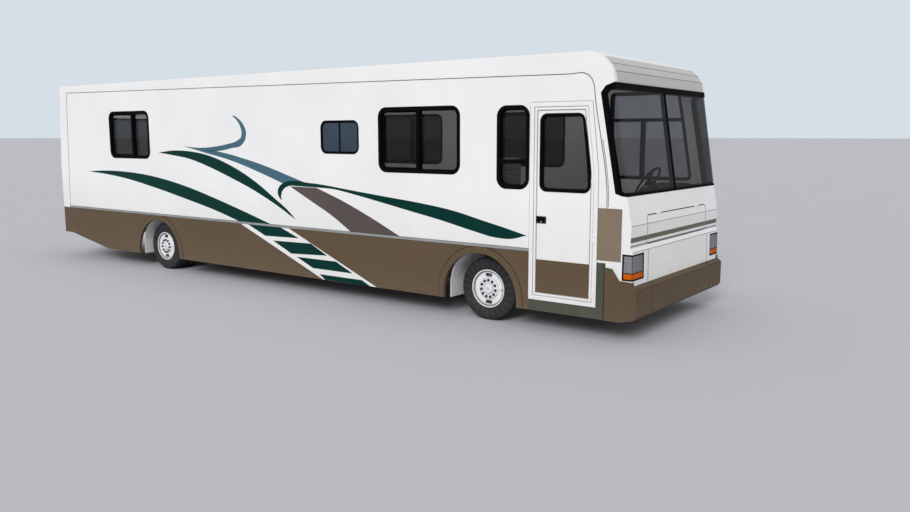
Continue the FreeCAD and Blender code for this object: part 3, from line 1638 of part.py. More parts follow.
def main():
    os.makedirs("parts", exist_ok=True)
    core = body_core(0)
    shell = core.cut(body_core(wall))
    lens_skin = body_core(lamp_set).cut(body_core(lamp_set + lamp_lens_thick))
    lid_shell = core.cut(body_core(lid_thick))

    right, left, frames, panes, vent_frame, vent_pane = side_walls(shell)
    save("side_wall_right", right)
    save("side_wall_left", left)
    save("vent_window_glass", vent_pane)
    save("roof", shell.common(across(roof_region())))

    cap = front_cap(shell)
    lid, hole, fixed, moving = nose_lid(lid_shell)
    save("front_cap", fuse(cap.cut(hole), *fixed))
    save("nose_lid", fuse(lid, *moving))
    frame, glass = windscreen(shell)
    save("windscreen_frame", frame)
    save("windscreen_glass", glass)

    cap, rear_frame, rear_glass, bezels, lenses, turns = rear_cap(shell, lens_skin)
    cap, lid, fixed, moving = engine_lid(cap)
    save("rear_cap", fuse(cap, *fixed))
    save("engine_lid", fuse(lid, *moving))
    save("window_frames", Part.makeCompound(frames + [vent_frame, rear_frame]))
    save("window_glass", Part.makeCompound(panes + [rear_glass]))

    bezel, lens, turn = headlamps(shell, lens_skin)
    save("lamp_bezels", Part.makeCompound([bezel, mirror_y(bezel)] + bezels))
    save("headlamp_lenses", both_sides(lens))
    save("turn_lenses", Part.makeCompound([turn, mirror_y(turn)] + turns))
    save("tail_lenses", Part.makeCompound(lenses))

    save("skirt_right", skirt_panel(ahead(door_rear_back)))
    save("skirt_left", mirror_y(skirt_panel(trim_seam_x)))
    save("door_surround", door_surround())
    save("belt_mouldings", belt_strips())
    save("corner_plates", tan_plates())
    save("front_bumper", front_bumper())
    save("rear_bumper", rear_bumper())
    save("wheel_liners", wheel_liners())

    frame, leaf, kick, handle = entry_door()
    save("entry_frame", frame)
    save("entry_door", leaf)
    save("entry_door_lower_skin", kick)
    save("entry_door_handle", handle)
    frame, glass = door_window()
    save("entry_door_window_frame", frame)
    save("entry_door_glass", glass)

    for side, outward in (("right", -1), ("left", 1)):
        save("front_tyre_" + side, tyre_ring(front_axle_x, outward * wheel_y, axle_z))
        save("front_rim_" + side, front_rim(outward))
        save("rear_tyres_" + side, Part.makeCompound([
            tyre_ring(rear_axle_x, outward * wheel_y, axle_z),
            tyre_ring(rear_axle_x, outward * (wheel_y - dual_spacing), axle_z)]))
        save("rear_rims_" + side, rear_rim(outward))
        save("knuckle_" + side, knuckle(outward))

    save("axles", Part.makeCompound([front_axle(), rear_axle()]))
    save("leaf_springs", leaf_springs())
    save("chassis_frame", chassis_frame())
    save("floor", fuse(floor_panel(), step_well(), rear_deck()))
    save("engine_block", engine_block())
    save("driveshaft", driveshaft())
    save("exhaust", exhaust())
    save("tanks", tanks())
    save("storage_bays", storage_bays())
    dash = dashboard()
    save("dashboard", dash)
    save("steering_wheel", steering_wheel().cut(dash))
    seats = cab_seat(driver_seat_back, driver_y) + cab_seat(passenger_seat_back, -driver_y)
    save("cab_seats", Part.makeCompound(seats))
    save("roof_vents", roof_vents())
    save("tow_fittings", Part.makeCompound([tow_eyes(), hitch_receiver()]))


main()
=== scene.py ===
import bpy
import bmesh
import json
import math
import numpy as np
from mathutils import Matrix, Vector

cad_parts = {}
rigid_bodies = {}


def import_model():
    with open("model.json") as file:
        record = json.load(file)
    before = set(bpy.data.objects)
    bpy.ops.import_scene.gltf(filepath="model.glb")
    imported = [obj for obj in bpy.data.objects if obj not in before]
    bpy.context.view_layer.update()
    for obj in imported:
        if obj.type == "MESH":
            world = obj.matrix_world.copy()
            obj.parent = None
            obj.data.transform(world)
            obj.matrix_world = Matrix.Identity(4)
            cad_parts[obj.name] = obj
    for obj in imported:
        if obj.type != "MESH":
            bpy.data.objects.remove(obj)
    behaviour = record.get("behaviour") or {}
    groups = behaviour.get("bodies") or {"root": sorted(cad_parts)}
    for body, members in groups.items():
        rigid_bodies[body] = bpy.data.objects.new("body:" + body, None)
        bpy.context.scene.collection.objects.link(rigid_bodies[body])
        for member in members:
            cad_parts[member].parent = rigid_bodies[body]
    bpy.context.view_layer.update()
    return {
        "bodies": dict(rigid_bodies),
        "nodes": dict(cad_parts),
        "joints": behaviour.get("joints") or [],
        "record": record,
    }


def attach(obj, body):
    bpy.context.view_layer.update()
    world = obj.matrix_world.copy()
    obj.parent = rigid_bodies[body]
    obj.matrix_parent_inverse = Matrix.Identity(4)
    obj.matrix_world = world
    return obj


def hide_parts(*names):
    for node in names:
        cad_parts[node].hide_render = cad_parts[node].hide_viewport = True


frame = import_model()
nodes = frame["nodes"]
print("frame loaded:", len(nodes), "nodes")

coach = "coach"
halfWidth = 1.27          # outer face of the side walls


# lines and surfaces

# sRGB 0-255 to linear: c / 12.92 below 0.04045, otherwise ((c + 0.055) / 1.055) ^ 2.4
def shade(red, green, blue):
    c = np.array([red, green, blue]) / 255.0
    return (*np.where(c <= 0.04045, c / 12.92, ((c + 0.055) / 1.055) ** 2.4).tolist(), 1.0)


# each vector over its own length: v / |v|
def unit(vectors):
    return vectors / np.linalg.norm(vectors, axis=-1)[..., None]


# length along a line of points: s(0) = 0, s(k) = s(k - 1) + |p(k) - p(k - 1)|
def lengthAlong(points):
    return np.concatenate([[0.0], np.cumsum(np.linalg.norm(np.diff(points, axis=0), axis=1))])


# Hermite curve through the points at even steps of chord length s:
# p(t) = (2t^3 - 3t^2 + 1) p0 + (t^3 - 2t^2 + t) h m0 + (3t^2 - 2t^3) p1 + (t^3 - t^2) h m1,
# m the slope between neighbours
def smoothLine(points, count):
    points = np.asarray(points, float)
    s = lengthAlong(points)
    slope = np.gradient(points, s, axis=0)
    at = np.linspace(0, s[-1], count)
    k = np.clip(np.searchsorted(s, at, side="right") - 1, 0, len(s) - 2)
    h = (s[k + 1] - s[k])[:, None]
    t = (at - s[k])[:, None] / h
    return ((2 * t**3 - 3 * t**2 + 1) * points[k] + (t**3 - 2 * t**2 + t) * h * slope[k]
            + (3 * t**2 - 2 * t**3) * points[k + 1] + (t**3 - t**2) * h * slope[k + 1])


# the same points joined by straight runs, read at even steps
def straightLine(points, count):
    points = np.asarray(points, float)
    s = lengthAlong(points)
    at = np.linspace(0, s[-1], count)
    return np.stack([np.interp(at, s, points[:, i]) for i in range(points.shape[1])], -1)


# every corner of a closed outline becomes an arc: centre + (sin((1-k)a) v0 + sin(ka) v1) / sin(a)
def roundLoop(corners, radius, steps=8):
    c = np.asarray(corners, float)
    back, ahead = np.roll(c, 1, 0) - c, np.roll(c, -1, 0) - c
    lb, la = np.linalg.norm(back, axis=1), np.linalg.norm(ahead, axis=1)
    back, ahead = back / lb[:, None], ahead / la[:, None]
    turn = np.arccos(np.clip((back * ahead).sum(1), -1, 1)) / 2
    reach = np.minimum(radius / np.tan(turn), 0.49 * np.minimum(lb, la))
    centre = c + unit(back + ahead) * (reach / np.cos(turn))[:, None]
    v0, v1 = c + back * reach[:, None] - centre, c + ahead * reach[:, None] - centre
    a = (math.pi - 2 * turn)[:, None, None]
    k = np.linspace(0, 1, steps)[None, :, None]
    arc = centre[:, None] + (np.sin((1 - k) * a) * v0[:, None] + np.sin(k * a) * v1[:, None]) / np.sin(a)
    return arc.reshape(-1, c.shape[1])


# the four corners of a level box, anticlockwise from the lower left
def box2(x0, x1, z0, z1):
    return [(x0, z0), (x1, z0), (x1, z1), (x0, z1)]


# cell (i, j) of an nu by nv grid joins (i, j), (i+1, j), (i+1, j+1), (i, j+1)
def gridFaces(nu, nv, closeU=False, closeV=False):
    i, j = np.meshgrid(np.arange(nu - (not closeU)), np.arange(nv - (not closeV)), indexing="ij")
    i2, j2 = (i + 1) % nu, (j + 1) % nv
    return np.stack([i * nv + j, i2 * nv + j, i2 * nv + j2, i * nv + j2], -1).reshape(-1, 4)


# a grid closed round v, and along u either closed too or shut by a face at each end
def tubeFaces(nu, nv, closed):
    ends = [] if closed else [np.arange(nv)[None, ::-1], (np.arange(nv) + (nu - 1) * nv)[None]]
    return [gridFaces(nu, nv, closed, True)] + ends


# a thin closed plate: point(u, v) in front, point(u, v) - push behind, and a rim round the edge
def plate(points, push):
    nu, nv = points.shape[:2]
    n = nu * nv
    front = points.reshape(-1, 3)
    faces = gridFaces(nu, nv)
    u, v = np.arange(nu), np.arange(nv)
    rim = np.concatenate([u * nv, (nu - 1) * nv + v[1:], (u[::-1] * nv + nv - 1)[1:], v[::-1][1:-1]])
    after = np.roll(rim, -1)
    side = np.stack([rim, after, after + n, rim + n], -1)
    return np.concatenate([front, front - np.asarray(push)]), [faces, faces[:, ::-1] + n, side]


# section(v) = (across, proud) carried along path(u):
# vertex = path + across * side * stretch + proud * up, side = tangent x up, stretch = 1 / cos(half the bend)
def sweep(path, section, up, closed=True):
    path, section = np.asarray(path, float), np.asarray(section, float)
    up = np.broadcast_to(np.asarray(up, float), path.shape)
    if closed:
        before, after = path - np.roll(path, 1, 0), np.roll(path, -1, 0) - path
    else:
        step = np.diff(path, axis=0)
        before, after = np.concatenate([step[:1], step]), np.concatenate([step, step[-1:]])
    tangent = unit(unit(before) + unit(after))
    stretch = 1 / np.clip((tangent * unit(after)).sum(1), 0.5, 1)
    side = unit(np.cross(tangent, up))
    verts = (path[:, None] + section[None, :, :1] * (side * stretch[:, None])[:, None]
             + section[None, :, 1:] * up[:, None])
    return verts.reshape(-1, 3), tubeFaces(*verts.shape[:2], closed)


# half-round bead section: (-w / 2 cos a, h sin a), its foot sunk a little so that it sits in the panel
def beadSection(w, h, sunk=0.0004):
    a = np.linspace(0, math.pi, 7)
    top = np.stack([-np.cos(a) * w / 2, np.sin(a) * h], -1)
    return np.concatenate([top, [[w / 2, -sunk], [-w / 2, -sunk]]])


# vertex(a, v) = centre + (radius(v) sin a, outward * along(v), radius(v) cos a)
def lathe(section, steps, centre=(0, 0, 0), outward=1):
    section = np.asarray(section, float)
    a = np.linspace(0, 2 * math.pi, steps, endpoint=False)[:, None]
    r, t = section[None, :, 1], section[None, :, 0]
    verts = np.stack([r * np.sin(a), outward * t + 0 * a, r * np.cos(a)], -1) + np.asarray(centre)
    return verts.reshape(-1, 3), tubeFaces(steps, len(section), True)


# one small shape put at many places: vertex(k, i) = turn(k) shape(i) + place(k)
def repeat(part, places, turns=np.eye(3)):
    verts, faces = part
    places = np.asarray(places, float)
    many = np.einsum("kab,ib->kia", np.broadcast_to(turns, (len(places), 3, 3)), verts) + places[:, None]
    shift = (np.arange(len(places)) * len(verts))[:, None, None]
    return many.reshape(-1, 3), [(f[None] + shift).reshape(-1, f.shape[1]) for f in faces]


# parts put into one mesh: the faces of each are counted on from the vertices before it
def joined(*parts):
    verts, faces, start = [], [], 0
    for v, f in parts:
        verts.append(v)
        faces += [one + start for one in f]
        start += len(v)
    return np.concatenate(verts), faces


# side-wall points (x, z) put on the wall's outer face, proud by some distance; side is -1 or 1
def onSide(xz, side, proud=0.0):
    xz = np.asarray(xz, float)
    return np.stack([xz[..., 0], np.full(xz.shape[:-1], side * (halfWidth + proud)), xz[..., 1]], -1)


# points (y, z) stood on a plane of one x, or on a face whose x is given point by point
def atX(x, yz):
    return np.column_stack([np.broadcast_to(x, len(yz)), yz])


# a straight run across the coach at one x and one z: y(k) = y0 + (y1 - y0) k / (count - 1)
def acrossLine(x, y0, y1, z, count=24):
    return np.column_stack([np.full(count, x), np.linspace(y0, y1, count), np.full(count, z)])


# a part turned by a 3 by 3 matrix and carried to a place: vertex = matrix v + place
def turned(part, matrix, place=(0, 0, 0)):
    verts, faces = part
    return verts @ np.asarray(matrix, float).T + np.asarray(place, float), faces


toX = [[0, 1, 0], [-1, 0, 0], [0, 0, 1]]       # a lathe along y, turned to run along x
toZ = [[1, 0, 0], [0, 0, -1], [0, 1, 0]]       # the same, turned to run along z


# each corner of a convex outline moved inward along its bisector by d / sin(half the corner)
def inset(corners, d):
    c = np.asarray(corners, float)
    back, ahead = np.roll(c, 1, 0) - c, np.roll(c, -1, 0) - c
    back, ahead = unit(back), unit(ahead)
    half = np.arccos(np.clip((back * ahead).sum(1), -1, 1)) / 2
    return c + unit(back + ahead) * (d / np.sin(half))[:, None]


# round tube: vertex = path + r (cos a side + sin a up), side = tangent x ref, up = side x tangent
def tube(path, radius, ref, steps, closed=False):
    path = np.asarray(path, float)
    slope = np.roll(path, -1, 0) - np.roll(path, 1, 0) if closed else np.gradient(path, axis=0)
    tangent = unit(slope)
    side = unit(np.cross(tangent, ref))
    up = np.cross(side, tangent)
    a = np.linspace(0, 2 * math.pi, steps, endpoint=False)[None, :, None]
    verts = path[:, None] + radius * (np.cos(a) * side[:, None] + np.sin(a) * up[:, None])
    return verts.reshape(-1, 3), tubeFaces(len(path), steps, closed)


# six-sided bolt head along +y with a washer under it and a domed end, as a lathe of six steps
def boltHead(radius, high):
    return lathe([(0, radius * 1.35), (high * 0.2, radius * 1.35), (high * 0.22, radius),
                  (high * 0.8, radius), (high, radius * 0.7), (high, 0.0004), (0, 0.0004)], 6)


# round screw cap along +y with an eased rim
def roundCap(radius, high, ease=0.004, core=0.0003):
    return lathe([(0, radius), (high - ease, radius), (high, radius - ease), (high, core), (0, core)], 28)


# flat bar section: width w, height h, with eased upper edges
def barSection(w, h, ease=0.2, sunk=0.0004):
    e = min(w, h) * ease
    return np.array([(-w / 2, -sunk), (-w / 2, h - e), (-w / 2 + e, h),
                     (w / 2 - e, h), (w / 2, h - e), (w / 2, -sunk)])


# a brick from x0..x1, y0..y1, z0..z1: rounded loops stacked along its axis, smaller at both ends
def brick(x0, x1, y0, y1, z0, z1, radius, axis, steps=4):
    spans = {"x": (x0, x1), "y": (y0, y1), "z": (z0, z1)}
    first, second = [name for name in "xyz" if name != axis]
    (a0, a1), (b0, b1), (c0, c1) = spans[first], spans[second], spans[axis]
    r = min(radius, (a1 - a0) * 0.45, (b1 - b0) * 0.45, (c1 - c0) * 0.45)
    levels = [(c0, r), (c0 + r * 0.3, r * 0.3), (c0 + r, 0), (c1 - r, 0), (c1 - r * 0.3, r * 0.3), (c1, r)]
    rings = []
    for level, d in levels:
        loop = roundLoop(box2(a0 + d, a1 - d, b0 + d, b1 - d), max(r - d * 0.5, 1e-4), steps)
        rings.append(np.column_stack([loop, np.full(len(loop), level)]))
    verts = np.stack(rings)[..., {"x": (2, 0, 1), "y": (0, 2, 1), "z": (0, 1, 2)}[axis]]
    return verts.reshape(-1, 3), tubeFaces(*verts.shape[:2], False)


# a part made into a mesh object with one of the finishes, riding a body of the coach
def addPiece(name, part, finish, body=coach, crease=35, merge=False):
    verts, faces = part
    mesh = bpy.data.meshes.new(name)
    sizes = np.concatenate([np.full(len(f), f.shape[1]) for f in faces])
    loops = np.concatenate([f.reshape(-1) for f in faces])
    starts = np.concatenate([[0], np.cumsum(sizes)[:-1]])
    mesh.vertices.add(len(verts))
    mesh.vertices.foreach_set("co", np.ascontiguousarray(verts, np.float32).ravel())
    mesh.loops.add(len(loops))
    mesh.loops.foreach_set("vertex_index", loops.astype(np.int32))
    mesh.polygons.add(len(sizes))
    mesh.polygons.foreach_set("loop_start", starts.astype(np.int32))
    mesh.update(calc_edges=True)
    mesh.validate()
    work = bmesh.new()
    work.from_mesh(mesh)
    if merge:
        bmesh.ops.remove_doubles(work, verts=work.verts, dist=1e-6)
    bmesh.ops.recalc_face_normals(work, faces=work.faces)
    work.to_mesh(mesh)
    work.free()
    mesh.shade_smooth()
    mesh.set_sharp_from_angle(angle=math.radians(crease))
    mesh.materials.append(finishes[finish])
    piece = bpy.data.objects.new(name, mesh)
    bpy.context.scene.collection.objects.link(piece)
    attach(piece, body)
    return piece


# finishes

def startFinish(name):
    finish = bpy.data.materials.new(name)
    finish.use_nodes = True
    tree = finish.node_tree
    return finish, tree, tree.nodes["Principled BSDF"]


def addNode(tree, kind, inputs=None, **settings):
    node = tree.nodes.new(kind)
    for key, value in settings.items():
        setattr(node, key, value)
    for key, value in (inputs or {}).items():
        if isinstance(value, bpy.types.NodeSocket):
            tree.links.new(value, node.inputs[key])
        else:
            node.inputs[key].default_value = value
    return node


def place(tree, shift=(0, 0, 0)):
    coords = addNode(tree, "ShaderNodeTexCoord").outputs["Object"]
    return addNode(tree, "ShaderNodeMapping", {"Vector": coords, "Location": shift}).outputs["Vector"]


def axes(tree, shift=(0, 0, 0)):
    return addNode(tree, "ShaderNodeSeparateXYZ", {"Vector": place(tree, shift)}).outputs[:3]


def noise(tree, scale, detail=3.0):
    settings = {"Vector": place(tree), "Scale": scale, "Detail": detail, "Roughness": 0.55}
    return addNode(tree, "ShaderNodeTexNoise", settings).outputs["Fac"]


def wave(tree, scale, direction, distortion=0.0):
    settings = {"Vector": place(tree), "Scale": scale, "Distortion": distortion}
    return addNode(tree, "ShaderNodeTexWave", settings, bands_direction=direction).outputs["Fac"]


def remap(tree, value, low, high, toLow, toHigh):
    settings = {"Value": value, "From Min": low, "From Max": high, "To Min": toLow, "To Max": toHigh}
    return addNode(tree, "ShaderNodeMapRange", settings).outputs["Result"]


def mixColour(tree, factor, a, b):
    node = addNode(tree, "ShaderNodeMix", data_type="RGBA")
    for socket, value in ((node.inputs[0], factor), (node.inputs[6], a), (node.inputs[7], b)):
        if isinstance(value, bpy.types.NodeSocket):
            tree.links.new(value, socket)
        else:
            socket.default_value = value
    return node.outputs[2]


def bumpFrom(tree, shader, height, distance, strength=1.0):
    bump = addNode(tree, "ShaderNodeBump", {"Height": height, "Distance": distance, "Strength": strength})
    tree.links.new(bump.outputs["Normal"], shader.inputs["Normal"])


def math2(tree, operation, a, b=0.0, clamp=False):
    return addNode(tree, "ShaderNodeMath", {0: a, 1: b}, operation=operation, use_clamp=clamp).outputs[0]


# a coat of paint, plastic or metal: two near shades in slow patches, road dust low down, grain in the gloss
def coatFinish(name, colour, other, rough=(0.3, 0.45), patch=1.5, grain=60.0, grainDeep=0.0002, metal=0.0,
               coat=0.0, dust=0.0, dustHigh=1.0, specular=0.5):
    finish, tree, shader = startFinish(name)
    tone = mixColour(tree, remap(tree, noise(tree, patch), 0.35, 0.65, 0, 1), shade(*colour), shade(*other))
    if dust:
        low = remap(tree, axes(tree)[2], 0.2, dustHigh, dust, 0.0)
        amount = math2(tree, "MULTIPLY", low, remap(tree, noise(tree, 7.0, 5.0), 0.3, 0.7, 0.3, 1.0), True)
        tone = mixColour(tree, amount, tone, shade(150, 140, 124))
    tree.links.new(tone, shader.inputs["Base Color"])
    fine = noise(tree, grain, 4.0)
    tree.links.new(remap(tree, fine, 0.3, 0.7, rough[0], rough[1]), shader.inputs["Roughness"])
    bumpFrom(tree, shader, fine, grainDeep)
    shader.inputs["Metallic"].default_value = metal
    shader.inputs["Specular IOR Level"].default_value = specular
    shader.inputs["Coat Weight"].default_value = coat
    shader.inputs["Coat Roughness"].default_value = 0.12
    return finish


# the room whose walls carry the lining, and where the rear pane begins
linedRoom = {"halfY": 1.2115, "frontX": 5.28, "rearX": -5.37, "topZ": 2.925}
rearPaneX = -5.2


# the shader of a finish, and the colour that feeds it so far
def baseOf(finish):
    shader = finish.node_tree.nodes["Principled BSDF"]
    return shader, shader.inputs["Base Color"].links[0].from_socket


# white gelcoat outside, pale lining where a point lies inside the walls
def shellFinish(name, colour, lining):
    finish = coatFinish(name, colour, [c * 0.975 for c in colour], rough=(0.28, 0.4), patch=0.8, grain=9.0,
                        grainDeep=0.0006, dust=0.22, dustHigh=1.4, specular=0.35)
    tree = finish.node_tree
    shader, outer = baseOf(finish)
    x, y, z = axes(tree)
    between = math2(tree, "LESS_THAN", math2(tree, "ABSOLUTE", y), linedRoom["halfY"])
    behind = math2(tree, "LESS_THAN", x, linedRoom["frontX"])
    under = math2(tree, "LESS_THAN", z, linedRoom["topZ"])
    ahead = math2(tree, "GREATER_THAN", x, linedRoom["rearX"])
    low, high = math2(tree, "MULTIPLY", between, behind), math2(tree, "MULTIPLY", under, ahead)
    inside = math2(tree, "MULTIPLY", low, high)
    weave = mixColour(tree, noise(tree, 220.0, 2.0), shade(*lining), shade(*[c * 0.9 for c in lining]))
    tree.links.new(mixColour(tree, inside, outer, weave), shader.inputs["Base Color"])
    return finish


# tinted glass; the driver's pane, on the left ahead of clearFrom, and the rear pane let more light through
def glassFinish(name, colour, alpha, specular, clearFrom=None, clearAlpha=None, rearAlpha=None):
    finish, tree, shader = startFinish(name)
    haze = noise(tree, 3.0, 4.0)
    tone = mixColour(tree, haze, shade(*colour), shade(*[c * 1.3 for c in colour]))
    tree.links.new(tone, shader.inputs["Base Color"])
    tree.links.new(remap(tree, haze, 0.3, 0.7, 0.02, 0.07), shader.inputs["Roughness"])
    bumpFrom(tree, shader, noise(tree, 1.3, 1.0), 0.0006, 0.6)
    if clearFrom is None:
        shader.inputs["Alpha"].default_value = alpha
    else:
        x, y = axes(tree)[:2]
        ahead = math2(tree, "GREATER_THAN", x, clearFrom)
        clear = math2(tree, "MULTIPLY", ahead, math2(tree, "GREATER_THAN", y, 0.0))
        front = remap(tree, clear, 0, 1, alpha, clearAlpha)
        rear = math2(tree, "MULTIPLY", math2(tree, "LESS_THAN", x, rearPaneX), alpha - rearAlpha)
        tree.links.new(math2(tree, "SUBTRACT", front, rear), shader.inputs["Alpha"])
    shader.inputs["Specular IOR Level"].default_value = specular
    return finish


# moulded lens: flutes one way and level rows half as fine, in the bump and in the colour
def lensFinish(name, colour, dark, specular, along):
    finish, tree, shader = startFinish(name)
    flutes, rows = wave(tree, 150.0, along), wave(tree, 75.0, "Z")
    both = math2(tree, "ADD", math2(tree, "MULTIPLY", flutes, 0.7), math2(tree, "MULTIPLY", rows, 0.3))
    tree.links.new(mixColour(tree, both, shade(*dark), shade(*colour)), shader.inputs["Base Color"])
    tree.links.new(remap(tree, noise(tree, 40.0), 0.3, 0.7, 0.08, 0.2), shader.inputs["Roughness"])
    bumpFrom(tree, shader, both, 0.0015, 0.6)
    shader.inputs["Specular IOR Level"].default_value = specular
    return finish


# black side wall with thin paler spokes, where the angle round the axle in ribs is near a whole number
def tyreFinish(name, axleX, axleZ, ribs):
    finish = coatFinish(name, (36, 36, 37), (43, 43, 44), rough=(0.62, 0.82), patch=6.0, grain=160.0,
                        grainDeep=0.0004, dust=0.06, dustHigh=0.5, specular=0.2)
    tree = finish.node_tree
    shader, base = baseOf(finish)
    x, z = axes(tree, (-axleX, 0, -axleZ))[::2]
    cells = math2(tree, "MULTIPLY", math2(tree, "ARCTAN2", x, z), ribs / (2 * math.pi))
    past = math2(tree, "FRACT", math2(tree, "ADD", cells, 100.5))
    line = remap(tree, math2(tree, "ABSOLUTE", math2(tree, "SUBTRACT", past, 0.5)), 0.012, 0.03, 1, 0)
    square = math2(tree, "ADD", math2(tree, "MULTIPLY", x, x), math2(tree, "MULTIPLY", z, z))
    radius = math2(tree, "SQRT", square)
    inner, outer = remap(tree, radius, 0.235, 0.245, 0, 1), remap(tree, radius, 0.35, 0.362, 1, 0)
    amount = math2(tree, "MULTIPLY", math2(tree, "MULTIPLY", line, inner), outer, True)
    tone = mixColour(tree, math2(tree, "MULTIPLY", amount, 0.55), base, shade(112, 112, 112))
    tree.links.new(tone, shader.inputs["Base Color"])
    return finish


# woven cloth: two crossed waves carried by the object's own coordinates, in colour and in bump
def clothFinish(name, colour, other):
    finish, tree, shader = startFinish(name)
    thread = 900.0 / 6.28
    warp, weft = wave(tree, thread, "Y", 1.5), wave(tree, thread, "DIAGONAL", 1.5)
    both = math2(tree, "MULTIPLY", math2(tree, "ADD", warp, weft), 0.5)
    slow = remap(tree, noise(tree, 5.0), 0.3, 0.7, 0.0, 1.0)
    share = math2(tree, "MULTIPLY", math2(tree, "ADD", both, slow), 0.5)
    tone = mixColour(tree, share, shade(*colour), shade(*other))
    tree.links.new(tone, shader.inputs["Base Color"])
    tree.links.new(remap(tree, both, 0, 1, 0.78, 0.95), shader.inputs["Roughness"])
    bumpFrom(tree, shader, both, 0.0006)
    shader.inputs["Specular IOR Level"].default_value = 0.2
    shader.inputs["Sheen Weight"].default_value = 0.25
    return finish


def rubberFinish(name, colour, grain, specular=0.3):
    return coatFinish(name, colour, [c * 1.25 for c in colour], rough=(0.62, 0.82), patch=6.0, grain=grain,
                      grainDeep=0.0004, dust=0.1, dustHigh=0.6, specular=specular)


wheelPlace = {"frontX": 3.615, "rearX": -2.645, "wheelY": 1.0585, "innerY": 0.8035, "axleZ": 0.372,
              "ribs": 24}

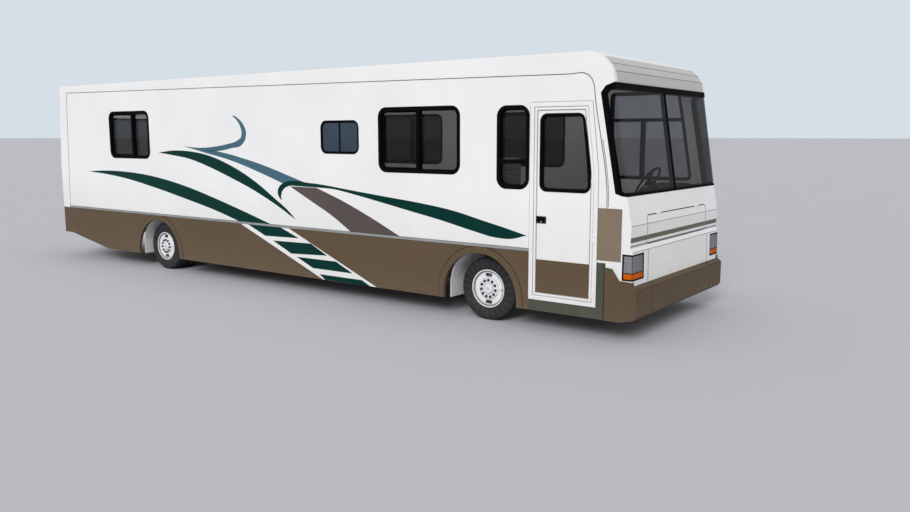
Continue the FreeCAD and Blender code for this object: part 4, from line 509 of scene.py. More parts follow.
# every finish by name: a coat unless it names another builder, then what the builder takes
finishSet = {
    "bodyWhite": dict(build=shellFinish, colour=(240, 240, 239), lining=(196, 194, 190)),
    "skirtBrown": dict(colour=(98, 82, 64), other=(94, 79, 61), rough=(0.45, 0.6), patch=0.9, grain=14.0,
                       grainDeep=0.0003, dust=0.12, dustHigh=0.6, specular=0.12),
    "bumperBrown": dict(colour=(96, 81, 64), other=(91, 76, 60), rough=(0.5, 0.65), patch=1.4, grain=14.0,
                        grainDeep=0.0003, dust=0.08, dustHigh=0.5, specular=0.08),
    "olive": dict(colour=(78, 80, 69), other=(73, 75, 65), rough=(0.5, 0.65), dust=0.1, dustHigh=0.6,
                  specular=0.12),
    "oliveDark": dict(colour=(50, 54, 46), other=(46, 50, 43), rough=(0.5, 0.65), specular=0.12),
    "tan": dict(colour=(131, 115, 98), other=(126, 110, 94), rough=(0.45, 0.58), patch=2.0, dust=0.06,
                specular=0.2),
    "mouldingGrey": dict(colour=(150, 152, 150), other=(138, 141, 140), rough=(0.4, 0.55), patch=3.0,
                         specular=0.3),
    "trimBlack": dict(colour=(11, 11, 12), other=(15, 15, 16), rough=(0.5, 0.66), patch=4.0, grain=220.0,
                      specular=0.015),
    "sealBlack": dict(build=rubberFinish, colour=(10, 10, 11), grain=300.0, specular=0.05),
    "seamGrey": dict(colour=(84, 84, 84), other=(72, 72, 72), rough=(0.5, 0.65), patch=5.0, specular=0.2),
    "seamDark": dict(colour=(48, 48, 49), other=(40, 40, 41), rough=(0.55, 0.7), patch=5.0, specular=0.15),
    "seamBrown": dict(colour=(42, 34, 25), other=(37, 30, 22), rough=(0.55, 0.7), patch=5.0, specular=0.12),
    "windowTint": dict(build=glassFinish, colour=(9, 9, 10), alpha=0.67, specular=0.22, clearFrom=3.9,
                       clearAlpha=0.225, rearAlpha=0.34),
    "ventTint": dict(build=glassFinish, colour=(46, 58, 70), alpha=0.94, specular=0.2),
    "screenTint": dict(build=glassFinish, colour=(9, 9, 9), alpha=0.555, specular=0.06),
    "lampLens": dict(build=lensFinish, colour=(136, 137, 139), dark=(104, 106, 109), specular=0.3,
                     along="DIAGONAL"),
    "turnLens": dict(build=lensFinish, colour=(214, 100, 3), dark=(196, 84, 0), specular=0.03,
                     along="DIAGONAL"),
    "tailLens": dict(build=lensFinish, colour=(168, 18, 16), dark=(126, 8, 8), specular=0.4, along="Y"),
    "chassisBlack": dict(colour=(40, 40, 41), other=(58, 52, 46), rough=(0.55, 0.75), patch=5.0, dust=0.45,
                         dustHigh=0.9),
    "castIron": dict(colour=(66, 64, 62), other=(88, 76, 64), rough=(0.5, 0.7), patch=9.0, grain=90.0,
                     metal=0.6, grainDeep=0.0008),
    "castAlloy": dict(colour=(140, 140, 140), other=(116, 114, 110), rough=(0.45, 0.62), patch=12.0,
                      grain=120.0, metal=0.8, grainDeep=0.0006),
    "rockerBlue": dict(colour=(44, 62, 84), other=(38, 54, 74), rough=(0.4, 0.55), patch=7.0, grain=70.0),
    "exhaustSteel": dict(colour=(138, 124, 110), other=(104, 84, 66), rough=(0.45, 0.65), patch=14.0,
                         grain=80.0, metal=0.75, dust=0.2, dustHigh=0.7),
    "wheelWhite": dict(colour=(238, 239, 240), other=(228, 229, 231), rough=(0.3, 0.42), patch=14.0,
                       coat=0.1, dust=0.08, dustHigh=0.5),
    # grey for the raised lines on the wheels and for the painted shade inside their flanges
    "rimGrey": dict(colour=(148, 150, 152), other=(126, 128, 130), rough=(0.4, 0.55), patch=20.0,
                    specular=0.3),
    "nutSteel": dict(colour=(40, 40, 42), other=(58, 55, 52), rough=(0.45, 0.6), patch=60.0, metal=0.3),
    "tyreFront": dict(build=tyreFinish, axleX=wheelPlace["frontX"], axleZ=wheelPlace["axleZ"],
                      ribs=wheelPlace["ribs"]),
    "tyreRear": dict(build=tyreFinish, axleX=wheelPlace["rearX"], axleZ=wheelPlace["axleZ"],
                     ribs=wheelPlace["ribs"]),
    "linerWhite": dict(colour=(244, 244, 245), other=(232, 232, 233), rough=(0.45, 0.6), patch=4.0,
                       dust=0.2, dustHigh=0.6),
    "floorVinyl": dict(colour=(128, 120, 108), other=(112, 104, 92), rough=(0.45, 0.6), patch=5.0),
    "dashVinyl": dict(colour=(27, 25, 23), other=(33, 31, 28), rough=(0.55, 0.7), patch=3.0, grain=350.0,
                      grainDeep=0.0006, specular=0.3),
    "panelBlack": dict(colour=(22, 22, 23), other=(28, 28, 29), rough=(0.4, 0.55), patch=8.0, grain=200.0),
    "gaugeFace": dict(colour=(218, 220, 216), other=(206, 208, 204), rough=(0.35, 0.45), patch=30.0),
    "seatCloth": dict(build=clothFinish, colour=(170, 162, 150), other=(146, 138, 126)),
    "pipingDark": dict(build=rubberFinish, colour=(96, 86, 74), grain=400.0),
    "stripeGreen": dict(colour=(0, 52, 46), other=(0, 48, 43), rough=(0.35, 0.5), patch=1.2, specular=0.08),
    "stripeBlue": dict(colour=(72, 106, 122), other=(68, 101, 117), rough=(0.35, 0.5), patch=1.2,
                       specular=0.1),
    "stripeMauve": dict(colour=(90, 80, 79), other=(86, 76, 75), rough=(0.35, 0.5), patch=1.2,
                        specular=0.1),
    "stripeWhite": dict(colour=(238, 238, 237), other=(232, 232, 231), rough=(0.3, 0.42), patch=1.2,
                        dust=0.1),
    "stripeOlive": dict(colour=(103, 104, 88), other=(99, 100, 84), rough=(0.35, 0.5), patch=1.2,
                        specular=0.1),
    "stripeTeal": dict(colour=(54, 68, 64), other=(50, 64, 60), rough=(0.35, 0.5), patch=1.2, specular=0.1),
    # pale blue-grey of painted shade: the band above the chin's step and the strips on the edges of the lower
    # nose recess
    "stripePale": dict(colour=(214, 222, 224), other=(208, 217, 219), rough=(0.3, 0.42), patch=1.2),
    "plateBlank": dict(colour=(226, 227, 226), other=(216, 217, 216), rough=(0.3, 0.42), patch=9.0),
    "hoseBlack": dict(build=rubberFinish, colour=(26, 26, 27), grain=120.0),
    "tankAmber": dict(colour=(206, 200, 186), other=(192, 186, 172), rough=(0.35, 0.5), patch=12.0),
    "capYellow": dict(colour=(196, 160, 30), other=(182, 148, 26), rough=(0.4, 0.55), patch=30.0),
    "brightSteel": dict(colour=(176, 176, 178), other=(158, 158, 160), rough=(0.25, 0.38), patch=20.0,
                        metal=1.0),
}
finishes = {}
for finishName, settings in finishSet.items():
    build = settings.pop("build", coatFinish)
    finishes[finishName] = build(finishName, **settings)

nodeFinishes = {
    "bodyWhite": ["side_wall_right", "side_wall_left", "roof", "front_cap", "nose_lid", "rear_cap",
                  "engine_lid", "entry_frame", "entry_door", "roof_vents"],
    "skirtBrown": ["skirt_right", "skirt_left", "entry_door_lower_skin"],
    "bumperBrown": ["front_bumper", "rear_bumper"],
    "olive": ["door_surround"],
    "tan": ["corner_plates"],
    "mouldingGrey": ["belt_mouldings"],
    "trimBlack": ["windscreen_frame", "window_frames", "lamp_bezels", "entry_door_handle",
                  "entry_door_window_frame", "steering_wheel"],
    "windowTint": ["window_glass", "entry_door_glass"],
    "screenTint": ["windscreen_glass"],
    "ventTint": ["vent_window_glass"],
    "lampLens": ["headlamp_lenses"],
    "turnLens": ["turn_lenses"],
    "tailLens": ["tail_lenses"],
    "chassisBlack": ["knuckle_right", "knuckle_left", "axles", "leaf_springs", "chassis_frame",
                     "storage_bays", "tow_fittings", "tanks"],
    "castIron": ["engine_block", "driveshaft"],
    "exhaustSteel": ["exhaust"],
    "wheelWhite": ["front_rim_right", "front_rim_left", "rear_rims_right", "rear_rims_left"],
    "tyreFront": ["front_tyre_right", "front_tyre_left"],
    "tyreRear": ["rear_tyres_right", "rear_tyres_left"],
    "linerWhite": ["wheel_liners"],
    "floorVinyl": ["floor"],
    "dashVinyl": ["dashboard"],
    "seatCloth": ["cab_seats"],
}
for finishName, members in nodeFinishes.items():
    for member in members:
        mesh = nodes[member].data
        mesh.materials.clear()
        mesh.materials.append(finishes[finishName])
print("finishes set")


# coloured stripes on the walls

stripeSet = {
    "proud": 0.0009, "thick": 0.0007, "steps": 72, "rows": 3, "layer": 0.0003,
    # each ribbon lies between two edges, as (x, z) on the wall
    "ribbons": [
        ("stripeMauve", 0, [(0.429, 1.446), (0.809, 1.275), (1.248, 1.074), (1.553, 0.899)],
         [(0.938, 1.445), (1.372, 1.307), (1.86, 1.123), (2.385, 0.899)]),
        ("stripeBlue", 0, [(-1.888, 1.97), (-1.571, 1.95), (-1.161, 1.969), (-0.861, 2.009), (-0.65, 2.055),
                           (-0.55, 2.115), (-0.54, 2.19), (-0.585, 2.29), (-0.67, 2.371), (-0.738, 2.408)],
         [(-1.888, 1.97), (-1.5, 1.928), (-1.124, 1.903), (-0.766, 1.951), (-0.56, 1.99), (-0.468, 2.07),
          (-0.44, 2.172), (-0.5, 2.29), (-0.6, 2.368), (-0.69, 2.41)]),
        ("stripeBlue", 0, [(-1.888, 1.97), (-1.5, 1.928), (-1.124, 1.903), (-0.537, 1.812), (0.009, 1.695),
                           (0.401, 1.592), (0.80, 1.487)],
         [(-1.888, 1.97), (-1.472, 1.893), (-0.778, 1.771), (-0.22, 1.629), (0.10, 1.537), (0.265, 1.488),
          (0.36, 1.462)]),
        ("stripeGreen", 1, [(-4.615, 1.525), (-4.15, 1.547), (-3.686, 1.549), (-2.772, 1.496),
                            (-1.936, 1.372), (-1.063, 1.179), (-0.532, 1.047), (0.03, 0.900)],
         [(-4.615, 1.525), (-4.08, 1.492), (-3.569, 1.445), (-2.673, 1.311), (-1.845, 1.16), (-1.122, 1.015),
          (-0.66, 0.900)]),
        ("stripeGreen", 1, [(-2.554, 1.867), (-2.169, 1.902), (-1.788, 1.896), (-1.371, 1.85),
                            (-0.782, 1.693), (-0.318, 1.505), (0.122, 1.264), (0.38, 1.112), (0.534, 0.994)],
         [(-2.554, 1.867), (-2.17, 1.83), (-1.796, 1.786), (-1.282, 1.666), (-0.793, 1.52), (-0.326, 1.367),
          (0.119, 1.189), (0.534, 0.994)]),
        ("stripeGreen", 2, [(0.264, 1.249), (0.205, 1.29), (0.178, 1.355), (0.2, 1.42), (0.286, 1.482),
                            (0.418, 1.519), (0.568, 1.524), (0.735, 1.509), (0.979, 1.495), (1.567, 1.437),
                            (2.153, 1.38), (2.734, 1.324), (3.191, 1.263), (3.623, 1.17), (3.899, 1.111),
                            (4.192, 1.043)],
         [(0.264, 1.249), (0.247, 1.29), (0.256, 1.345), (0.305, 1.406), (0.4, 1.448), (0.565, 1.455),
          (0.75, 1.452), (0.938, 1.45), (1.279, 1.437), (1.565, 1.395), (2.084, 1.306), (2.575, 1.218),
          (3.041, 1.135), (3.482, 1.044), (3.78, 0.992), (4.0, 0.992), (4.192, 1.043)]),
    ],
    # bars of the ladder on the skirt, as corners (x, z): upper left, upper right, lower right, lower left
    "ladderBand": [(-0.637, 0.871), (0.372, 0.871), (1.985, 0.2225), (1.028, 0.2225)],
    "ladderBars": [
        [(-0.472, 0.871), (0.216, 0.871), (0.579, 0.745), (-0.106, 0.731)],
        [(0.051, 0.675), (0.808, 0.691), (1.112, 0.552), (0.419, 0.522)],
        [(0.525, 0.486), (1.27, 0.488), (1.571, 0.358), (0.839, 0.360)],
        [(0.96, 0.289), (1.73, 0.289), (1.877, 0.2225), (1.06, 0.2235)],
    ],
}


# point(u, v) = (1 - v) lower(u) + v upper(u)
def ribbon(lower, upper, side, proud, s):
    low, high = smoothLine(lower, s["steps"]), smoothLine(upper, s["steps"])
    v = np.linspace(0, 1, s["rows"])[None, :, None]
    return plate(onSide((1 - v) * low[:, None] + v * high[:, None], side, proud), (0, side * s["thick"], 0))


# a flat patch between four corners: point(u, v) = (1 - v) upper(u) + v lower(u), both edges straight
def patch(corners, side, proud, thick):
    c = np.asarray(corners, float)
    u, v = np.linspace(0, 1, 9)[:, None, None], np.linspace(0, 1, 3)[None, :, None]
    grid = (1 - v) * ((1 - u) * c[0] + u * c[1]) + v * ((1 - u) * c[3] + u * c[2])
    return plate(onSide(grid, side, proud), (0, side * thick, 0))


def makeStripes(s):
    for side, word in ((-1, "Right"), (1, "Left")):
        groups = {}
        for finishName, layer, upper, lower in s["ribbons"]:
            part = ribbon(lower, upper, side, s["proud"] + layer * s["layer"], s)
            groups.setdefault(finishName, []).append(part)
        for finishName, parts in groups.items():
            addPiece(finishName + word, joined(*parts), finishName, merge=True)
        band = patch(s["ladderBand"], side, s["proud"], s["thick"])
        bars = [patch(c, side, s["proud"] + s["layer"], s["thick"]) for c in s["ladderBars"]]
        addPiece("ladderBand" + word, band, "stripeWhite")
        addPiece("ladderBars" + word, joined(*bars), "stripeGreen")


makeStripes(stripeSet)
print("wall stripes made")


# stripes on the nose, and a pale band of painted shade just above the chin

noseStripes = {
    "proud": 0.0009, "thick": 0.0007, "lidHalf": 0.8555, "capInner": 0.8625,
    # finish, lower and upper edge on the cap, lower edge on the lid; the pale band is painted shade
    "bands": [("stripeOlive", 1.050, 1.100, 1.050), ("stripeTeal", 1.0105, 1.019, 1.0105),
              ("stripePale", 1.001, 1.0085, None)],
}
creaseZ = 1.219


# the nose face leans: x(z) = 5.415 + 0.008 (z - 1.0) / 0.219 up to the crease, then back by 0.054 over 0.295
def noseX(z):
    return np.where(z < creaseZ, 5.415 + 0.008 * (z - 1.0) / 0.219, 5.423 - 0.054 * (z - creaseZ) / 0.295)


# a band on the nose: point(y, z) = (x(z) + proud, y, z)
def noseBand(y0, y1, z0, z1, s):
    y, z = np.meshgrid(np.linspace(y0, y1, 12), np.linspace(z0, z1, 3), indexing="ij")
    return plate(np.stack([noseX(z) + s["proud"], y, z], -1), (s["thick"], 0, 0))


def makeNoseStripes(s):
    half, inner = s["lidHalf"], s["capInner"]
    for finishName, z0, z1, lidLow in s["bands"]:
        outer = [noseBand(y0, y1, z0, z1, s) for y0, y1 in ((-halfWidth, -inner), (inner, halfWidth))]
        addPiece(finishName + "Cap", joined(*outer), finishName)
        if lidLow:
            addPiece(finishName + "Lid", noseBand(-half, half, lidLow, z1, s), finishName, "nose_lid_body")


makeNoseStripes(noseStripes)
print("nose stripes made")


# seams

seamSet = {
    "width": 0.009, "high": 0.003, "rear": [(-5.285, 0.905), (-5.173, 2.859)], "foot": (5.147, 0.873),
    # the trim's curve over the door: where it starts, how far it runs, and its points as shares of that
    "trimStart": (4.69, 2.755), "trimReach": (0.457, -1.351),
    "trimShares": [(0.0, 0.0), (0.405, 0.003), (0.495, 0.021), (0.562, 0.049), (0.617, 0.095),
                   (0.635, 0.148), (0.689, 0.267), (0.816, 0.492), (0.947, 0.745), (0.989, 0.879),
                   (1.0, 1.0)],
    "secondFrom": 7, "secondGap": 0.017, "secondWidth": 0.0063,
}


# a half-round bead along points (x, z) of one side wall
def sideBead(xz, side, width, high):
    return sweep(onSide(xz, side), beadSection(width, high), (0, side, 0), False)


def makeSeams(s):
    trim = np.array(s["trimStart"]) + np.array(s["trimReach"]) * np.array(s["trimShares"])
    outline = np.concatenate([s["rear"], smoothLine(trim, 90), [s["foot"]]])
    second = smoothLine(trim[s["secondFrom"]:] + [s["secondGap"], 0.0], 30)
    for side, word in ((-1, "Right"), (1, "Left")):
        parts = [sideBead(line, side, width, s["high"])
                 for line, width in ((outline, s["width"]), (second, s["secondWidth"]))]
        addPiece("panelSeam" + word, joined(*parts), "seamGrey")


makeSeams(seamSet)

noseSeamSet = {
    "wide": 0.0045, "high": 0.0012, "edgeY": 1.268, "chin": (5.4148, 0.9995), "step": (5.4428, 0.954),
    "chinWay": (0.9, 0, 0.44), "creaseSunk": 0.0004, "creaseWay": (1, 0, 0.05), "lidGap": 0.014,
    # the two creases of the brow: x, z and the way out of the brow there
    "brow": [(5.1291, 2.8509, (0.765, 0, 0.644)), (5.1790, 2.7703, (0.934, 0, 0.356))], "browInset": 0.03,
    "lidHalf": 0.855, "sealHalf": 0.8655, "sealTop": 1.3085, "sealRound": 0.05, "sealFoot": 1.002,
    "sealBar": (0.006, 0.0014), "footZ": 0.612, "headZ": 0.951,
    # upright seams below the step, and beside them pale strips of painted shade on the edges of the recess:
    # name, finish, slot, y, width
    "uprights": [("noseUprightSeams", "seamDark", "moulding_grey", 0.88, 0.006),
                 ("noseUprightEdgeShade", "stripePale", "body_white", 0.864, 0.014)],
}


# below the step the nose leans the other way: x(z) = 5.449 - 0.006 (z - 0.608) / 0.346
def chinX(z):
    return 5.449 - 0.006 * (z - 0.608) / 0.346


def makeNoseSeams(s):
    section = barSection(s["wide"], s["high"])
    h, lid = s["edgeY"], s["lidHalf"]
    creaseX = float(noseX(creaseZ)) - s["creaseSunk"]
    crease = [sweep(acrossLine(creaseX, y0, y1, creaseZ), section, s["creaseWay"], False)
              for y0, y1 in ((-h, -lid - s["lidGap"]), (lid + s["lidGap"], h), (-lid, lid))]
    outer = crease[:2]
    outer += [sweep(acrossLine(x, -h, h, z), section, s["chinWay"], False) for x, z in (s["chin"], s["step"])]
    brow = h - s["browInset"]
    outer += [sweep(acrossLine(x, -brow, brow, z), section, way, False) for x, z, way in s["brow"]]
    addPiece("noseLines", joined(*outer), "seamGrey")
    addPiece("noseLidCrease", crease[2], "seamGrey", "nose_lid_body")
    # dark seal on the cap round the lid: up one side, over the rounded corners, down the other
    half, top, foot = s["sealHalf"], s["sealTop"], s["sealFoot"]
    arcs = roundLoop(box2(-half, half, foot - 0.1, top), s["sealRound"], 10)[20:]
    line = straightLine(np.concatenate([[(half, foot)], arcs, [(-half, foot)]]), 160)
    seal = sweep(atX(noseX(line[:, 1]), line), barSection(*s["sealBar"]), (1, 0, 0.03), False)
    addPiece("noseLidSeal", seal, "seamDark")
    z = np.linspace(s["footZ"], s["headZ"], 20)
    for name, finishName, slot, y, wide in s["uprights"]:
        bars = [sweep(np.column_stack([chinX(z), np.full(20, sign * y), z]), barSection(wide, s["high"]),
                      (1, 0, 0.01), False) for sign in (-1, 1)]
        addPiece(name, joined(*bars), finishName)


makeNoseSeams(noseSeamSet)

brownSet = {
    "arch": [(3.560, 0.285, 0.591), (-2.668, 0.264, 0.621)], "archBead": (0.0065, 0.0016), "skirtLow": 0.226,
    "beltZ": (0.8705, 0.9035), "beltRear": -5.284, "beltEnd": {-1: 4.222, 1: 5.05},
    "beltBead": (0.0035, 0.0012),
    # the bumper's face from its top lip to its foot, as (x, z)
    "face": [(5.449, 0.609), (5.4995, 0.5645), (5.4995, 0.29), (5.475, 0.2575)],
    "jointY": 0.868, "jointBar": (0.008, 0.0008), "recess": (0.1835, 0.4935), "lineX": 5.4993,
    "lineBar": (0.004, 0.0006), "foldZ": 0.5665, "foldHalf": 1.265,
    "grooveX": (5.128, 5.1465), "grooveZ": (0.226, 0.822), "grooveProud": 0.0008, "grooveThick": 0.0006,
}


def makeBrownLines(s):
    lines = []
    a = np.linspace(math.pi, 0, 60)
    for side in (-1, 1):
        for x, z, r in s["arch"]:
            arc = np.column_stack([x + r * np.cos(a), z + r * np.sin(a)])
            feet = [(x - r, s["skirtLow"])], [(x + r, s["skirtLow"])]
            lines.append(sideBead(np.concatenate([feet[0], arc, feet[1]]), side, *s["archBead"]))
        for z in s["beltZ"]:
            run = straightLine([(s["beltRear"], z), (s["beltEnd"][side], z)], 60)
            lines.append(sideBead(run, side, *s["beltBead"]))
    addPiece("archLines", joined(*lines), "seamBrown")
    # where the bumper's middle meets its ends
    face = np.array(s["face"])
    joint, thin = barSection(*s["jointBar"]), barSection(*s["lineBar"])
    seams = [sweep(np.column_stack([face[:, 0], np.full(4, sign * s["jointY"]), face[:, 1]]), joint,
                   (0.8, 0, 0.6), False) for sign in (-1, 1)]
    # three sides of the blank recess in the middle, and the fold under the top
    half, top = s["recess"]
    low = face[2, 1]
    ring = np.array([(-half, low), (-half, top), (half, top), (half, low)])
    fold = acrossLine(s["lineX"], -s["foldHalf"], s["foldHalf"], s["foldZ"])
    seams += [sweep(path, thin, (1, 0, 0), False) for path in (atX(s["lineX"], ring), fold)]
    addPiece("bumperLines", joined(*seams), "seamBrown")


# a thin dark strip on the surround: point(x, z) = (x, -(half width + proud), z)
def makeGroove(s):
    grid = np.meshgrid(np.linspace(*s["grooveX"], 3), np.linspace(*s["grooveZ"], 24), indexing="ij")
    groove = plate(onSide(np.stack(grid, -1), -1, s["grooveProud"]), (0, -s["grooveThick"], 0))
    addPiece("surroundGroove", groove, "oliveDark")


lampSet = {
    "splitZ": 0.738, "lowZ": 0.677, "highZ": 0.915, "sunk": 0.005, "rearX": 5.349, "edgeY": 1.265,
    "innerY": 1.003, "splitBar": (0.009, 0.0012), "cornerBar": (0.004, 0.0012),
}


# dark lines on the front lamps: round the split between the lenses, and down their upright corner
def makeLampLines(s):
    low, split, high = [(chinX(z) - s["sunk"], z) for z in (s["lowZ"], s["splitZ"], s["highZ"])]
    beads = []
    for sign in (-1, 1):
        edge, inner = sign * s["edgeY"], sign * s["innerY"]
        corner = (split[0], edge, split[1])
        runs = [((s["rearX"], edge, split[1]), corner, (0, sign, 0), s["splitBar"]),
                (corner, (split[0], inner, split[1]), (1, 0, 0), s["splitBar"]),
                ((low[0], edge, low[1]), (high[0], edge, high[1]), (1, sign, 0), s["cornerBar"])]
        beads += [sweep([start, end], barSection(*bar), way, False) for start, end, way, bar in runs]
    addPiece("lampLines", joined(*beads), "trimBlack")


makeBrownLines(brownSet)
makeLampLines(lampSet)
makeGroove(brownSet)
print("seams made")


# window gaskets, sashes and latches

windowSet = {
    "outer": (0.008, 0.0045), "lip": (0.005, 0.0014), "inner": (0.011, 0.006), "sash": (0.014, 0.009),
    "glassY": 1.222, "ventGlassY": 1.259, "frame": 0.006, "ventFrame": 0.003, "gap": 0.003, "cover": 0.004,
    "sashInset": 0.014, "sashRound": 0.02, "catchHalf": (0.010, 0.035), "catchY": (0.028, 0.046),
    # name, sides, outline as (x, z), corner radius, band, share of the sliding pane
    "windows": [
        ("lounge", (-1, 1), box2(2.048, 3.284, 1.687, 2.462), 0.115, 0.038, 0.5),
        ("tall", (-1,), box2(3.799, 4.210, 1.550, 2.447), 0.115, 0.038, None),
        ("bedroom", (-1, 1), box2(-3.891, -2.781, 1.769, 2.513), 0.115, 0.038, 0.59),
        ("vent", (-1,), box2(1.048, 1.710, 1.901, 2.314), 0.090, 0.016, None),
        ("dinette", (1,), box2(-0.086, 1.150, 1.687, 2.462), 0.115, 0.038, 0.5),
        ("driver", (1,), [(3.951, 1.557), (5.112, 1.557), (4.977, 2.327), (4.905, 2.690), (3.951, 2.690)],
         0.070, 0.038, None),
    ],
}


# an outline drawn in by d, its corners rounded, stood on the wall at the distance y from the middle
def wallLoop(corners, radius, d, side, y):
    loop = roundLoop(inset(corners, d), max(radius - d, 0.012), 10)
    return np.stack([loop[:, 0], np.full(len(loop), side * y), loop[:, 1]], -1)


def makeWindows(s):
    for side, word in ((-1, "Right"), (1, "Left")):
        gaskets, sashes, catches = [], [], []
        up = (0, side, 0)
        for name, sides, corners, corner, band, share in s["windows"]:
            if side not in sides:
                continue
            glass, frame = (s["ventGlassY"], s["ventFrame"]) if name == "vent" else (s["glassY"], s["frame"])
            beads = [(-s["gap"], halfWidth, s["outer"]), (band - s["cover"], halfWidth + frame, s["lip"]),
                     (band + s["cover"], glass, s["inner"])]
            gaskets += [sweep(wallLoop(corners, corner, d, side, y), beadSection(*section), up)
                        for d, y, section in beads]
            if share:
                (x0, z0), (x1, z1) = corners[0], corners[2]
                bar, mid, edge = x0 + share * (x1 - x0), (z0 + z1) / 2, band + s["sashInset"]
                pane = box2(x0 + edge, bar + s["cover"], z0 + edge, z1 - edge)
                loop = wallLoop(pane, s["sashRound"], 0.0, side, glass)
                sashes.append(sweep(loop, barSection(*s["sash"]), up))
                wide, high = s["catchHalf"]
                y0, y1 = sorted(side * (glass + y) for y in s["catchY"])
                catches.append(brick(bar - wide, bar + wide, y0, y1, mid - high, mid + high, 0.004, "z"))
        addPiece("windowGaskets" + word, joined(*gaskets), "sealBlack")
        addPiece("windowSashes" + word, joined(*sashes), "trimBlack")
        addPiece("windowCatches" + word, joined(*catches), "panelBlack")


makeWindows(windowSet)

rearWindowSet = {
    "half": 0.65, "low": 1.690, "high": 2.450, "corner": 0.115, "way": (-0.997, 0, 0.0774),
    # how far in, how far out of the wall, and the bead's width and height
    "beads": [(-0.003, 0.0, (0.010, 0.005)), (0.034, 0.006, (0.005, 0.0014))],
}
rearCreaseZ = 1.599


# rear wall above the crease: x(z) = -5.5 + 0.107 (z - 1.599) / 1.379
def rearX(z):
    return -5.5 + 0.107 * (np.clip(z, rearCreaseZ, 3.0) - rearCreaseZ) / 1.379


def makeRearWindow(s):
    parts = []
    for d, proud, section in s["beads"]:
        corners = inset(box2(-s["half"], s["half"], s["low"], s["high"]), d)
        loop = roundLoop(corners, s["corner"] - d, 12)
        parts.append(sweep(atX(rearX(loop[:, 1]) - proud, loop), beadSection(*section), s["way"]))
    addPiece("rearWindowGasket", joined(*parts), "sealBlack")


makeRearWindow(rearWindowSet)
print("window gaskets made")


# entry door

doorSet = {
    "window": [(4.345, 1.533), (4.958, 1.533), (4.946, 1.749), (4.872, 2.360), (4.345, 2.360)],
    "leaf": [(4.283, 0.398), (4.992, 0.398), (4.992, 1.749), (4.906, 2.424), (4.283, 2.424)],
    "frame": [(4.2245, 0.3435), (5.0465, 0.3435), (5.0465, 1.7495), (4.9605, 2.4785), (4.2245, 2.4785)],
    "panel": box2(4.335, 4.94, 0.46, 1.47), "body": "entry_door_leaf",
    # every line round the door: name, finish, slot, whether it rides on the leaf, and its loops, each with
    # its outline, corner radius, inset, y, section and whether it faces inwards
    "lines": [
        ("doorWindowGasket", "sealBlack", "trim_black", True,
         [("window", 0.085, 0.026, 1.272, beadSection(0.006, 0.0022), False),
          ("window", 0.085, 0.034, 1.238, beadSection(0.010, 0.005), False)]),
        ("doorSeal", "sealBlack", "trim_black", False,
         [("leaf", 0.012, 0.002, 1.212, barSection(0.024, 0.014), False)]),
        ("doorBorder", "seamGrey", "moulding_grey", True,
         [("leaf", 0.014, 0.034, 1.2668, barSection(0.004, 0.0006), False),
          ("leaf", 0.014, 0.028, 1.272, barSection(0.0035, 0.0008), False)]),
        ("doorFrameLine", "seamGrey", "moulding_grey", False,
         [("frame", 0.012, 0.0, halfWidth, barSection(0.005, 0.0018), False)]),
        ("doorLiningBead", "mouldingGrey", "liner_white", True,
         [("panel", 0.05, 0.0, 1.232, beadSection(0.008, 0.003), True)]),
    ],
    "pull": [(4.36, -1.232, 1.44), (4.36, -1.195, 1.42), (4.36, -1.190, 1.34), (4.36, -1.190, 1.26),
             (4.36, -1.195, 1.18), (4.36, -1.232, 1.16)], "pullRadius": 0.008,
    "lock": [(0, 0.0105), (0.0016, 0.0105), (0.0028, 0.009), (0.0028, 0.003), (0.0012, 0.0026),
             (0.0012, 0.0003), (0, 0.0003)], "lockPlace": (4.374, -1.2745, 1.204),
    "paddle": box2(4.322, 4.426, 1.197, 1.259), "paddleRound": 0.012, "paddleProud": 0.0045,
    "paddleBead": (0.004, 0.0012),
    # rubber treads on the two steps: y from, y to, z
    "treads": [(-1.19, -0.935, 0.430), (-0.905, -0.655, 0.680)], "treadX": (4.30, 4.97), "treadRibs": 9,
    "ribSize": (-0.009, 0.009, 0.0, 0.004),
}


def makeDoor(s):
    body = s["body"]
    for name, finishName, slot, onLeaf, loops in s["lines"]:
        parts = [sweep(wallLoop(s[outline], corner, d, -1, y), section, (0, 1 if inwards else -1, 0))
                 for outline, corner, d, y, section, inwards in loops]
        addPiece(name, joined(*parts), finishName, body if onLeaf else coach)
    pull = tube(smoothLine(s["pull"], 40), s["pullRadius"], (1, 0, 0), 12)
    addPiece("doorInnerPull", pull, "trimBlack", body)
    addPiece("doorLock", lathe(s["lock"], 24, s["lockPlace"], -1), "brightSteel", body)
    edge = onSide(roundLoop(s["paddle"], s["paddleRound"]), -1, s["paddleProud"])
    paddle = sweep(edge, beadSection(*s["paddleBead"]), (0, -1, 0))
    addPiece("doorHandleEdge", paddle, "panelBlack", body)
    rib, count = brick(*s["treadX"], *s["ribSize"], 0.002, "x"), s["treadRibs"]
    ribs = [repeat(rib, acrossLine(0.0, y0, y1, z, count)) for y0, y1, z in s["treads"]]
    addPiece("stepRibs", joined(*ribs), "sealBlack")


makeDoor(doorSet)
print("door details made")


# tyres

tyreSet = {
    "radius": 0.372, "width": 0.223, "seat": 0.205, "steps": 240, "ribHigh": 0.0012, "lugs": 60,
    "lugDeep": 0.008, "grooveDeep": 0.009, "grooveHalf": 0.005, "grooves": (-0.44, 0.0, 0.44),
    # the side wall from the bead to the shoulder, as shares of half the width and of the wall's height
    "wallShares": [(-0.72, 0.0), (-0.80, 0.03), (-0.90, 0.12), (-0.965, 0.27), (-1.0, 0.46), (-0.99, 0.62),
                   (-0.955, 0.76), (-0.90, 0.87), (-0.84, 0.945)],
    "shoulderShares": [(-0.80, 0.978), (-0.74, 0.99)],
    # the shares of the wall's height over which the ribs rise and fade
    "ribFrom": (0.1, 0.12), "ribTo": (0.86, 0.08), "lugFrom": (0.70, 0.9), **wheelPlace,
}


